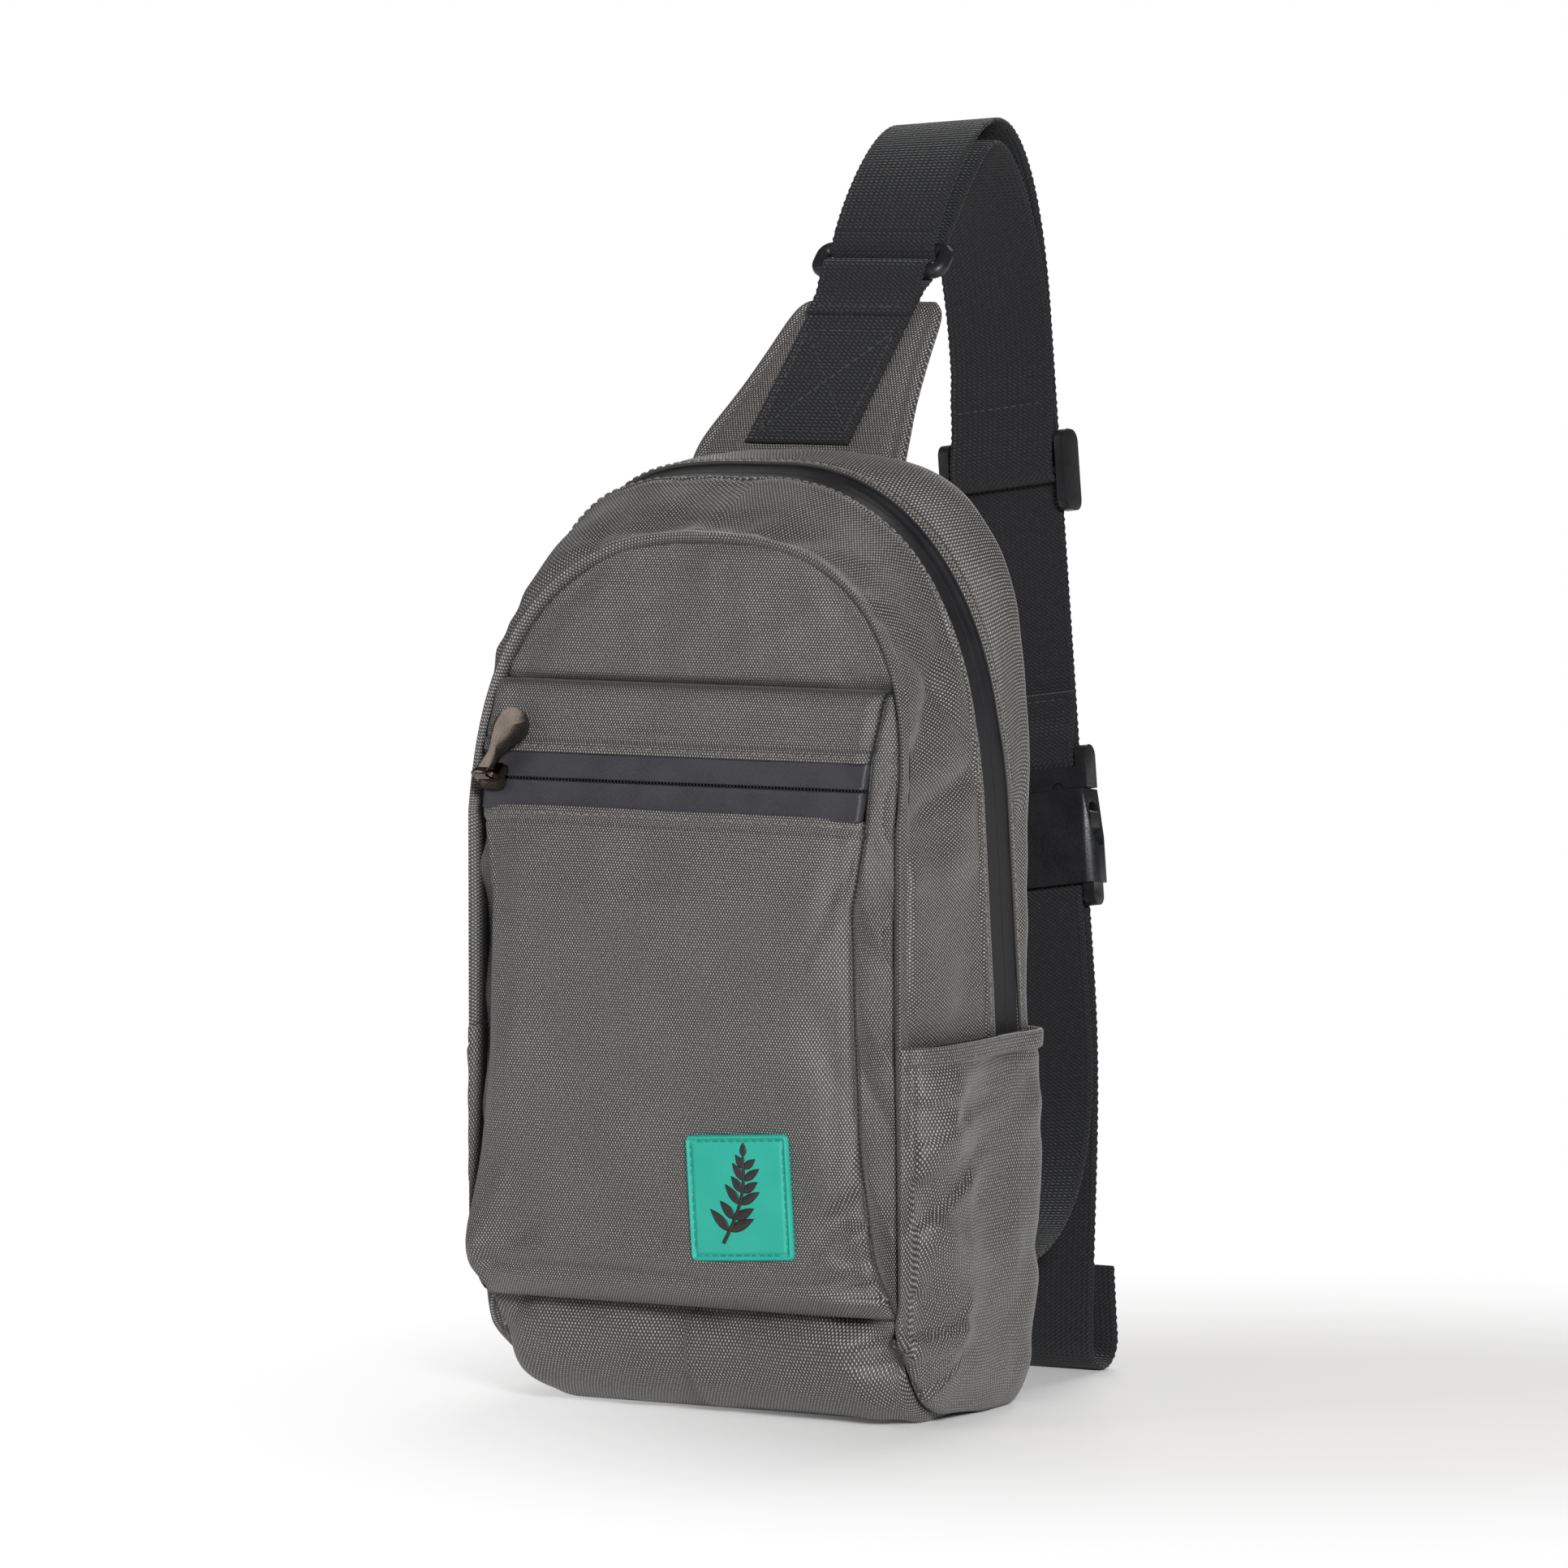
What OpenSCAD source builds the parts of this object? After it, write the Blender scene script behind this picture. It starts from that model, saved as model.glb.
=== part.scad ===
// Sling bag with a front pocket, two side pockets and one shoulder strap with a side-release buckle.
// Origin at the centre of the base's resting face, +Z up, the bag's front towards -Y.

/* [Body] */
// Width across the two sides
body_w = 160; // [150:1:172]
// Height of the highest point of the bag's top
body_h = 303; // [295:1:315]
// Height of the top of the front seam
front_h = 275; // [268:1:282]
// Depth from the front seam to the back panel
body_d = 82; // [76:1:92]
// How far the middle of the depth lies in front of the origin
base_shift = 3; // [0:0.5:6]
// Height at which the sides start to round over
shoulder_z = 190; // [182:1:198]
// Lean of the front above its shoulders, in degrees
front_lean = 10; // [8:0.5:12]
// Squareness of the front seam's arch, 2 is an ellipse
dome_power = 2.5; // [2.2:0.1:2.8]
// Added squareness of the left shoulder, which bulges more
left_bulge = 1.5; // [0:0.1:2]
// Radius of the lower corners behind the round front edge, seen from the front
corner_r = 22; // [16:1:28]
// Radius of the lower corners at the front seam
front_corner_r = 9; // [6:1:14]
// Radius of the lower front edge, seen from the side
edge_r = 28; // [22:1:32]
// How far the front seam's sides draw in
front_draw_in = 2; // [1:0.5:4]
// How far the back panel's sides draw in
back_draw_in = 3; // [2:0.5:4]
// Radius of the edge round the back panel
back_r = 5; // [4:0.5:6]
// Thickness of the sewn cloth walls
wall = 2.4; // [2:0.1:3]
// Thickness of the flat front walls
front_wall = 2; // [1.6:0.1:2.6]
// Thickness of the padded back panel
back_wall = 4; // [3:0.5:6]
// Thickness of the foam behind the back panel
foam_t = 3; // [2:0.5:5]
// How far the foam stays inside the back panel's edge
foam_inset = 7; // [5.5:0.5:12]
// Width of the stiffening board in the base
board_w = 104; // [80:2:108]
// Depth of the stiffening board in the base
board_d = 38; // [30:1:40]
// Thickness of the stiffening board in the base
board_t = 2; // [1:0.5:3]

/* [Main zip] */
// Width of the zip band that shows
zip_w = 15; // [13:0.5:16]
// Height of the zip's two lower ends and of the side pockets' hems
zip_end_z = 120; // [110:1:130]
// Distance from the back panel to the zip's middle at its lower ends
zip_back_low = 15.5; // [14.5:0.5:18]
// Distance from the back panel to the zip's middle over the top
zip_back_top = 27; // [24:0.5:30]
// Height above which the zip runs level with the back
zip_turn_z = 220; // [205:1:240]
// Slit between the two tapes that the slider's neck runs in
zip_slit = 0.8; // [0.6:0.1:1.2]
// Thickness of a zip tape
tape_t = 1.2; // [1:0.1:1.6]
// How far the main zip's tape lies below the cloth's edge
tape_sink = 0.6; // [0.3:0.1:1]

/* [Front pocket] */
// Height of the pocket's lower seam
pocket_low_z = 36; // [32:1:42]
// Height of the pocket's upper seam above the shoulders
pocket_top_up = 45; // [40:1:50]
// Distance from the shoulders down to where the pocket's face starts to lean back
pocket_bend_down = 25; // [20:1:35]
// Height over which the pocket's lower end curls out
pocket_curl = 12; // [10:1:26]
// Free depth inside the pocket
pocket_gap = 12.4; // [10:0.2:15]
// Thickness of the pocket's cloth
pocket_cloth = 1.6; // [1.4:0.1:2]
// Strip of front wall left between the pocket's side and the seam
pocket_margin = 1.5; // [1:0.1:3]
// Height of the pocket zip's middle above the shoulders
pocket_zip_up = 11; // [10:1:15]
// Height of the pocket zip's band
pocket_zip_h = 17; // [15:0.5:19]
// Height of the coil along each tape's edge
coil_h = 1.6; // [1.2:0.1:2]
// Thickness of the coil behind the tape
coil_t = 1; // [0.6:0.1:1.1]
// How far the coil stops short of the pocket's sides
coil_end = 3; // [2.5:0.1:5]
// Distance from the pocket's side to the pocket slider's middle, with the zip shut
slider_in = 5.5; // [5.5:0.5:15]

/* [Side pockets] */
// Free gap behind a side pocket
side_gap = 4.8; // [4.4:0.1:6]
// Thickness of a side pocket's cloth
side_cloth = 1.5; // [1.2:0.1:2]
// Height above which a side pocket has its full gap
side_full_z = 70; // [64:1:80]

/* [Patch] */
// Width of the rubber patch
patch_w = 37; // [30:1:44]
// Height of the rubber patch
patch_h = 40; // [32:1:46]
// Thickness of the rubber patch
patch_t = 1.8; // [1.2:0.1:2.5]
// Corner radius of the rubber patch
patch_r = 2; // [1:0.5:4]
// Place of the patch's middle to the right of the bag's middle
patch_x = 28.5; // [20:0.5:34]
// Height of the patch's middle
patch_z = 73; // [70:1:90]
// Turn of the patch, as it is sewn on
patch_turn = 3.5; // [0:0.5:6]

/* [Zip sliders] */
// Length of a slider along the zip
slider_l = 10; // [8:0.5:12]
// Height of a slider across the zip
slider_h = 8.4; // [7:0.2:10]
// Thickness of a slider's plates
slider_t = 1.8; // [1.4:0.1:2.2]
// Radius of the bar that the puller hangs on
bail_r = 0.9; // [0.8:0.05:1.1]
// Distance from the tape to the middle of that bar
bail_out = 5; // [4.6:0.1:6]
// How far that bar sits towards the zip's shut end
bail_shift = 1.5; // [0:0.1:2]
// Length of a puller from its bar to its round end
puller_l = 17.5; // [14:0.5:24]
// Radius of a puller's round end
puller_r = 6; // [4.6:0.1:6.5]
// Thickness of a puller
puller_t = 1.8; // [1.4:0.1:2.2]
// How far the main puller is held out by the side pocket's hem
main_puller_tilt = 26; // [24:1:35]
// Slant of the pocket's puller
puller_slant = 28; // [0:1:32]

/* [Webbing] */
// Width of the webbing
web_w = 38; // [36:0.5:40]
// Thickness of the webbing
web_t = 1.4; // [1.2:0.1:1.6]
// Gap between webbing and what it wraps or lies on
web_gap = 0.2; // [0.1:0.05:0.3]
// Place of the rear strand to the right of the middle, at the buckle's mouth
strand_x = 28; // [22:1:32]
// Distance from the origin back to the rear strand, at the buckle's mouth
strand_y = 137; // [132:1:142]
// Height of the buckle's mouth
strand_z = 186; // [182:1:192]
// Lean of the rear strand towards the bag's lower right corner
lean_side = 8.2; // [6:0.1:9]
// Lean of the rear strand towards the bag at its foot
lean_back = 7.3; // [6:0.1:8]
// Lean of the outer layer where it leaves the ring, in degrees
strap_rise = 28; // [24:1:32]
// Lean of the inner layer where it leaves the ring, in degrees
return_rise = 38; // [34:1:42]
// Height of the arch's highest point
arch_top_z = 408; // [404:1:412]
// Distance from the origin back to the arch's highest point
arch_top_y = 128; // [122:1:134]
// Drop from the outer layer to the inner layer at the arch
layer_drop = 6; // [5:0.5:8]
// Length of the sewn laps at the ends of the webbing
lap = 22; // [20:1:26]
// Length of strap that runs straight on below the buckle
strap_straight = 40; // [34:1:44]
// How strongly the strap's ends hold their direction
strap_pull = 43; // [38:1:46]
// Place of the tail's curl to the right of the middle
tail_x = 46; // [40:1:52]
// Distance from the origin back to the front of the tail's curl
tail_y = 110; // [106:1:118]
// Height of the free end of the strap's tail
tail_end_z = 33; // [28:1:40]
// Radius of the curl where the tail meets the floor
tail_r = 9; // [8:0.5:11]

/* [Wing] */
// Width of the wing where it leaves the bag
wing_low_w = 78; // [70:1:84]
// Width of the wing's top
wing_top_w = 54; // [50:1:58]
// Thickness of the wing's padding
wing_t = 5.5; // [4.5:0.5:6.5]
// Lean of the wing away from the bag
wing_lean = 33; // [30:0.5:35]
// Length of the leaning part of the wing
wing_l = 57; // [52:1:60]
// Height at which the wing starts to lean
wing_bend_z = 302; // [298:1:304]
// How far the wing's foot lies to the left of its top
wing_skew = 10.5; // [0:0.5:12]
// Length of the wing's tab on the back panel
wing_tab = 40; // [30:1:50]

/* [Ring] */
// Distance from the wing's top up to the ring's lower bar
ring_up_wing = 9.5; // [8.5:0.5:11]
// Radius of the ring's bars
ring_r = 2.5; // [2.2:0.1:2.8]
// Distance between the ring's two long bars
ring_pitch = 9.2; // [8.8:0.2:12]
// Lean of the ring
ring_lean = 45; // [40:1:50]

/* [Tri-glide] */
// Height of the tri-glide along the strap
glide_h = 27; // [25:0.5:32]
// Radius of the tri-glide's bars
glide_bar_r = 1.5; // [1.3:0.1:1.7]
// Thickness of the tri-glide's side rails
glide_rail = 3.6; // [3:0.1:4.5]
// Distance from the buckle's mouth up to the tri-glide
glide_up = 106; // [98:1:112]

/* [Buckle] */
// Width of the socket at its mouth
socket_mouth_w = 46; // [45:0.5:49]
// Greatest width of the socket
socket_w = 52; // [50:0.5:56]
// Length of the socket
socket_l = 31; // [29:0.5:34]
// Thickness of the buckle
buckle_t = 11; // [10.5:0.5:13]
// Wall of the socket above and below its hollow
socket_wall = 2.2; // [1.6:0.1:2.4]
// Radius of the buckle's webbing bars
buckle_bar_r = 1.5; // [1.3:0.1:1.7]
// Distance from the socket's mouth up to the plug's webbing bar
plug_bar_up = 11; // [10.5:0.5:13]
// Distance from the socket's foot down to its webbing bar
lock_bar_down = 4.2; // [4:0.1:6]
// Distance from the middle to each flexing arm's root
arm_x = 13; // [12:0.5:14]
// Length of a flexing arm
arm_l = 18; // [17:0.5:19]
// Width of a flexing arm
arm_w = 3.6; // [3:0.2:4]

/* [Fits] */
// Clearance between pieces that move past each other
clear = 0.35; // [0.3:0.05:0.5]
// Clearance of a hinge pin or knuckle
pin_clear = 0.06; // [0.05:0.01:0.1]

/* [Hidden] */
$fn = 48;

cloth_colour = "#5b5752";
webbing_colour = "#2b2b2e";
plastic_colour = "#1c1c1e";
metal_colour = "#7c7167";
zip_colour = "#222224";
foam_colour = "#3a3a3c";
patch_colour = "#40c4af";

front_y = -body_d / 2 - base_shift;
back_y = body_d / 2 - base_shift;
back_face = back_y + back_wall;
lean_rate = tan(front_lean);

// The front seam's place in depth at a height
function seam_y(z) = front_y + max(0, z - shoulder_z) * lean_rate;

// The main zip's middle in depth at a height
zip_low_y = back_y - zip_back_low;
zip_top_y = back_y - zip_back_top;
zip_rate = (zip_low_y - zip_top_y) / (zip_turn_z - zip_end_z);
function zip_y(z) = min(zip_low_y, max(zip_top_y, zip_low_y - (z - zip_end_z) * zip_rate));

// Depth stations: front seam, rounded front edge, zip edges, back edge, back panel
FRONT_SEAM = 0;
ZIP_FRONT = 4;
ZIP_SLIT_FRONT = 5;
ZIP_SLIT_REAR = 6;
ZIP_REAR = 7;
BACK_EDGE = 8;
BACK = 9;
// How far each station has climbed from the front seam's top to the bag's top
climb = [0, 0.1, 0.36, 0.6, 0.68, 0.74, 0.75, 0.85, 1, 0.93];
// Squareness of each station's arch beyond the front seam's
square_right = [0, -0.1, -0.15, -0.2, -0.2, -0.25, -0.25, -0.3, 0.8, 0.8];
// Share of the left shoulder's bulge that each station takes
left_share = [0, 0.3, 0.6, 0.9, 1, 1, 1, 1, 0.9, 0.7];
// How far each station's sides draw in
draw_share = [1, 0.5, 0.15, 0];
function draw_in(i) = i < ZIP_FRONT ? front_draw_in * draw_share[i] : i == BACK ? back_draw_in : 0;
// How far each front station lies from the seam towards the zip, at most
front_share = [0, 0.12, 0.4, 0.8];
// How far the round front edge has turned at a front station
function edge_turn(i) = 90 * i / (ZIP_FRONT - 1);

function station_half_w(i) = body_w / 2 - draw_in(i);
function station_corner_r(i) =
    i < ZIP_FRONT ? front_corner_r + (corner_r - front_corner_r) * i / (ZIP_FRONT - 1) : corner_r;
function station_top(i) = front_h + (body_h - front_h) * climb[i];
function station_low(i) =
    i < ZIP_FRONT ? edge_r * (1 - sin(edge_turn(i))) : i == BACK ? back_r * 0.6 : 0;
function front_reach(i, z) = min(edge_r * (1 - cos(edge_turn(i))),
    front_share[i] * (zip_y(z) - zip_w / 2 - seam_y(z)));
function station_y(i, z) =
    i < ZIP_FRONT ? seam_y(z) + front_reach(i, z) :
    i == ZIP_FRONT ? zip_y(z) - zip_w / 2 :
    i == ZIP_SLIT_FRONT ? zip_y(z) - zip_slit / 2 :
    i == ZIP_SLIT_REAR ? zip_y(z) + zip_slit / 2 :
    i == ZIP_REAR ? zip_y(z) + zip_w / 2 :
    i == BACK_EDGE ? back_y - back_r : back_y;

// Steps along half an outline: base, corner, side marks, dome
CORNER_STEPS = 4;
DOME_STEPS = 10;
CORNER_TOP = 1 + CORNER_STEPS;
SIDE_FULL = CORNER_TOP + 1;
HEM = CORNER_TOP + 2;
SHOULDER = CORNER_TOP + 3;
TOP = SHOULDER + DOME_STEPS;

// A point of the right half outline at a station, moved out by a grow
function corner_turn(j) = 90 * (j - 1) / CORNER_STEPS;
function dome_turn(j) = 90 * (j - SHOULDER) / DOME_STEPS;
function power(i, left) = dome_power + (left ? left_bulge * left_share[i] : square_right[i]);
function half_outline(i, j, grow, left) =
    let (w = station_half_w(i) + grow, low = station_low(i) - grow, r = station_corner_r(i) + grow,
        rise = station_top(i) + grow - shoulder_z, bend = 2 / power(i, left))
    j == 0 ? [0, low] :
    j <= CORNER_TOP ? [w - r + r * sin(corner_turn(j)), low + r - r * cos(corner_turn(j))] :
    j == SIDE_FULL ? [w, side_full_z] :
    j == HEM ? [w, zip_end_z] :
    j == SHOULDER ? [w, shoulder_z] :
    [w * pow(max(0, cos(dome_turn(j))), bend), shoulder_z + rise * pow(sin(dome_turn(j)), bend)];

// The same all round: negative steps and steps past the top lie on the left
function outline(i, j, grow) =
    let (left = j < 0 || j > TOP, step = j < 0 ? -j : j > TOP ? 2 * TOP - j : j,
        p = half_outline(i, step, grow, left))
    [left ? -p[0] : p[0], p[1]];
function skin_point(i, j, grow) =
    let (p = outline(i, j, grow)) [p[0], station_y(i, p[1]), p[1]];

// Half the width of the front wall at a height
function front_half_w(z) =
    let (w = station_half_w(FRONT_SEAM), r = front_corner_r, turn_z = edge_r + r,
        u = (z - shoulder_z) / (front_h - shoulder_z))
    z < turn_z ? w - r + sqrt(max(0, pow(r, 2) - pow(turn_z - z, 2))) :
    z <= shoulder_z ? w : w * pow(max(0, 1 - pow(u, dome_power)), 1 / dome_power);

// A sheet between two grids of points, outer and inner, both listed station by station
module sheet_solid(outer, inner) {
    rows = len(outer);
    cols = len(outer[0]);
    count = rows * cols;
    points = concat([for (row = outer) each row], [for (row = inner) each row]);
    function a(i, j) = i * cols + j;
    function b(i, j) = count + i * cols + j;
    last = rows - 1;
    end = cols - 1;
    skins = [for (i = [0 : last - 1], j = [0 : end - 1]) each [
        [a(i, j), a(i, j + 1), a(i + 1, j + 1)], [a(i, j), a(i + 1, j + 1), a(i + 1, j)],
        [b(i, j), b(i + 1, j + 1), b(i, j + 1)], [b(i, j), b(i + 1, j), b(i + 1, j + 1)]]];
    fronts = [for (j = [0 : end - 1]) each [
        [a(0, j), b(0, j), b(0, j + 1)], [a(0, j), b(0, j + 1), a(0, j + 1)],
        [a(last, j), b(last, j + 1), b(last, j)], [a(last, j), a(last, j + 1), b(last, j + 1)]]];
    ends = [for (i = [0 : last - 1]) each [
        [a(i, 0), a(i + 1, 0), b(i + 1, 0)], [a(i, 0), b(i + 1, 0), b(i, 0)],
        [a(i, end), b(i + 1, end), a(i + 1, end)], [a(i, end), b(i, end), b(i + 1, end)]]];
    polyhedron(points, concat(skins, fronts, ends), convexity = 6);
}

// A cloth panel of the body between two stations and two outline steps
module body_cloth(first, last, start, stop, sink = 0, thick = wall) {
    sheet_solid(
        [for (i = [first : last]) [for (j = [start : stop]) skin_point(i, j, -sink)]],
        [for (i = [first : last]) [for (j = [start : stop]) skin_point(i, j, -sink - thick)]]);
}

// A solid skinned over four-cornered sections
module loft(sections) {
    last = len(sections) - 1;
    function at(k, m) = k * 4 + m % 4;
    sides = [for (k = [0 : last - 1], m = [0 : 3]) each [
        [at(k, m), at(k + 1, m), at(k + 1, m + 1)], [at(k, m), at(k + 1, m + 1), at(k, m + 1)]]];
    caps = [[0, 1, 2], [0, 2, 3], [at(last, 0), at(last, 2), at(last, 1)],
        [at(last, 0), at(last, 3), at(last, 2)]];
    polyhedron([for (s = sections) each s], concat(sides, caps), convexity = 8);
}

// A level section of a wall between two depths
function level(z, left, right, y0, y1) =
    [[left, y0, z], [right, y0, z], [right, y1, z], [left, y1, z]];
module wall_rows(heights) {
    loft([for (z = heights) level(z, -front_half_w(z), front_half_w(z), seam_y(z) - front_wall, seam_y(z))]);
}

function blend(p, q, t) = p + (q - p) * t;
function unit(v) = v / norm(v);
function bezier(p, q, r, s, t) =
    pow(1 - t, 3) * p + 3 * t * pow(1 - t, 2) * q + 3 * t * t * (1 - t) * r + pow(t, 3) * s;

// Webbing or padding swept along a path of [point, width axis, width]
module ribbon(path, thick) {
    last = len(path) - 1;
    function heading(k) = unit(path[min(last, k + 1)][0] - path[max(0, k - 1)][0]);
    loft([for (k = [0 : last])
        let (c = path[k][0], across = path[k][1] * path[k][2] / 2,
            up = unit(cross(heading(k), path[k][1])) * thick / 2)
        [c - across - up, c + across - up, c + across + up, c - across + up]]);
}

// Body panels

module base_panel() {
    color(cloth_colour) body_cloth(FRONT_SEAM, BACK, -1, 1);
}
module base_board() {
    mid_y = (front_y + edge_r + back_y - back_r) / 2;
    color(foam_colour)
        translate([-board_w / 2, mid_y - board_d / 2, wall])
            cube([board_w, board_d, board_t]);
}
module side_panel_right() {
    color(cloth_colour) body_cloth(FRONT_SEAM, BACK, 1, HEM);
}
module side_panel_left() {
    color(cloth_colour) body_cloth(FRONT_SEAM, BACK, -HEM, -1);
}

// A side pocket stands off the side by its gap, sewn down along three edges
stand_off = [0, 0.5, 0.9, 1, 1, 1, 1, 1, 0.8, 0];
function pocket_rise(j) = let (step = abs(j)) step < CORNER_TOP ? 0 : step == CORNER_TOP ? 0.3 : 1;
module side_pocket(start, stop) {
    function off(i, j) = side_gap * stand_off[i] * pocket_rise(j);
    color(cloth_colour) sheet_solid(
        [for (i = [FRONT_SEAM : BACK]) [for (j = [start : stop]) skin_point(i, j, off(i, j) + side_cloth)]],
        [for (i = [FRONT_SEAM : BACK]) [for (j = [start : stop]) skin_point(i, j, off(i, j))]]);
}
module side_pocket_right() {
    side_pocket(CORNER_TOP - 1, HEM);
}
module side_pocket_left() {
    side_pocket(-HEM, 1 - CORNER_TOP);
}
module front_gusset() {
    color(cloth_colour) body_cloth(FRONT_SEAM, ZIP_FRONT, HEM, 2 * TOP - HEM);
}
module rear_gusset() {
    color(cloth_colour) body_cloth(ZIP_REAR, BACK, HEM, 2 * TOP - HEM);
}
module main_zip_tape_front() {
    color(zip_colour) body_cloth(ZIP_FRONT, ZIP_SLIT_FRONT, HEM, 2 * TOP - HEM, tape_sink, tape_t);
}
module main_zip_tape_rear() {
    color(zip_colour) body_cloth(ZIP_SLIT_REAR, ZIP_REAR, HEM, 2 * TOP - HEM, tape_sink, tape_t);
}

// A flat piece with the back panel's outline, standing at a depth
module back_shape(y, thick, grow) {
    translate([0, y + thick, 0])
        rotate([90, 0, 0])
            linear_extrude(thick)
                polygon([for (j = [1 - TOP : TOP]) outline(BACK, j, grow)]);
}
module back_panel() {
    color(cloth_colour) back_shape(back_y, back_wall, 0);
}
module back_foam() {
    color(foam_colour) back_shape(back_y - foam_t, foam_t, -foam_inset);
}

// Front walls, from the lower strip to the dome
module upper_front_panel() {
    top_steps = 8;
    color(cloth_colour) wall_rows([for (k = [0 : top_steps])
        blend(pocket_top_z, front_h - 0.2, sin(90 * k / top_steps))]);
}
module pocket_back_panel() {
    corner_z = max(edge_r + front_corner_r, pocket_low_z + 2 * pocket_margin);
    color(cloth_colour) wall_rows([pocket_low_z, blend(pocket_low_z, corner_z, 0.5), corner_z, shoulder_z,
        blend(shoulder_z, pocket_top_z, 0.5), pocket_top_z]);
}
module lower_front_panel() {
    color(cloth_colour) wall_rows([edge_r, blend(edge_r, pocket_low_z, 0.5), pocket_low_z]);
}

// Front pocket

pocket_top_z = shoulder_z + pocket_top_up;
pocket_bend_z = shoulder_z - pocket_bend_down;
pocket_zip_z = shoulder_z + pocket_zip_up;
pocket_full_z = pocket_low_z + pocket_curl;
pocket_zip_low = pocket_zip_z - pocket_zip_h / 2;
pocket_zip_high = pocket_zip_z + pocket_zip_h / 2;
pocket_flat_y = front_y - front_wall - pocket_gap;
pocket_lean_rate = (seam_y(pocket_top_z) - front_wall - pocket_flat_y) / (pocket_top_z - pocket_bend_z);
pocket_lean = atan(pocket_lean_rate);
// The inner side of the pocket's face at a height
function pocket_y(z) =
    z > pocket_bend_z ? pocket_flat_y + (z - pocket_bend_z) * pocket_lean_rate :
    z > pocket_full_z ? pocket_flat_y :
    front_y - front_wall
        - pocket_gap * sqrt(max(0, 1 - pow((pocket_full_z - z) / pocket_curl, 2)));
function pocket_half_w(z) =
    front_half_w(z) - pocket_margin - (seam_y(z) - front_wall - pocket_y(z));
function face_row(z, thick = pocket_cloth) =
    let (w = pocket_half_w(z), y = pocket_y(z) - pocket_cloth) level(z, -w, w, y, y + thick);
// A section square to the leaning face, between two depths below it
function square_row(z, from, to, inset) =
    let (w = pocket_half_w(z) - inset, y = pocket_y(z) - pocket_cloth, dy = cos(pocket_lean),
        dz = -sin(pocket_lean))
    [[-w, y + from * dy, z + from * dz], [w, y + from * dy, z + from * dz],
        [w, y + to * dy, z + to * dz], [-w, y + to * dy, z + to * dz]];
curl_rows = [for (t = [0, 0.08, 0.25, 0.5, 0.75]) pocket_low_z + pocket_curl * t];
corner_rows = [for (t = [0, 0.5]) blend(pocket_full_z, pocket_bend_z, t)];
// Heights at which the pocket's sides bend, above a lowest one
function pocket_rows(low, high) = [for (z = concat(curl_rows, corner_rows,
    [pocket_bend_z, shoulder_z, pocket_zip_low, pocket_zip_high])) if (z > low && z < high) z];

module pocket_panel() {
    rows = concat([pocket_low_z], pocket_rows(pocket_low_z, pocket_zip_low), [pocket_zip_low]);
    color(cloth_colour) loft([for (z = rows) face_row(z)]);
}
module pocket_top_band() {
    color(cloth_colour) loft([for (z = [pocket_zip_high, pocket_top_z]) face_row(z)]);
}
// A tape from its sewn edge to the slit, with the coil behind the slit's edge
tape_depth = tape_t * cos(pocket_lean);
coil_depth = tape_depth + coil_t;
module front_tape(sewn_z, slit_z) {
    up = sewn_z < slit_z;
    coil_z = slit_z + (up ? -coil_h : coil_h);
    sewn = face_row(sewn_z, tape_t);
    slit = square_row(slit_z, 0, tape_depth, 0);
    coil = [for (z = [min(coil_z, slit_z), max(coil_z, slit_z)])
        square_row(z, tape_depth / 2, coil_depth, coil_end)];
    color(zip_colour) {
        loft(up ? [sewn, slit] : [slit, sewn]);
        loft(coil);
    }
}
module front_zip_tape_upper() {
    front_tape(pocket_zip_high, pocket_zip_z + zip_slit / 2);
}
module front_zip_tape_lower() {
    front_tape(pocket_zip_low, pocket_zip_z - zip_slit / 2);
}
// The cloth side of the pocket, from the face's edge out to the front wall
module pocket_side(side) {
    low = pocket_low_z + pocket_curl * 0.08;
    high = pocket_top_z - (pocket_top_z - pocket_zip_high) * 0.1;
    rows = concat([low], pocket_rows(low, high), [high]);
    function run(z) = side * pocket_half_w(z);
    function foot(z) = side * (front_half_w(z) - pocket_margin / 2);
    function section(z) =
        let (f = [run(z), run(z) - side * pocket_cloth], w = [foot(z), foot(z) - side * pocket_cloth])
        [[min(f), pocket_y(z), z], [max(f), pocket_y(z), z], [max(w), seam_y(z) - front_wall, z],
            [min(w), seam_y(z) - front_wall, z]];
    color(cloth_colour) loft([for (z = rows) section(z)]);
}
module pocket_gusset_right() {
    pocket_side(1);
}
module pocket_gusset_left() {
    pocket_side(-1);
}
module rounded_plate(w, h, r, thick) {
    linear_extrude(thick) {
        square([w - 2 * r, h], center = true);
        square([w, h - 2 * r], center = true);
        for (x = [-1, 1], y = [-1, 1])
            translate([x * (w / 2 - r), y * (h / 2 - r)])
                circle(r);
    }
}
module patch() {
    color(patch_colour)
        translate([patch_x, pocket_flat_y - pocket_cloth, patch_z])
            rotate([90, -patch_turn, 0])
                rounded_plate(patch_w, patch_h, patch_r, patch_t);
}

// Zip sliders: X along the zip, -Y out of the tape, Z across the zip

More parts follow.
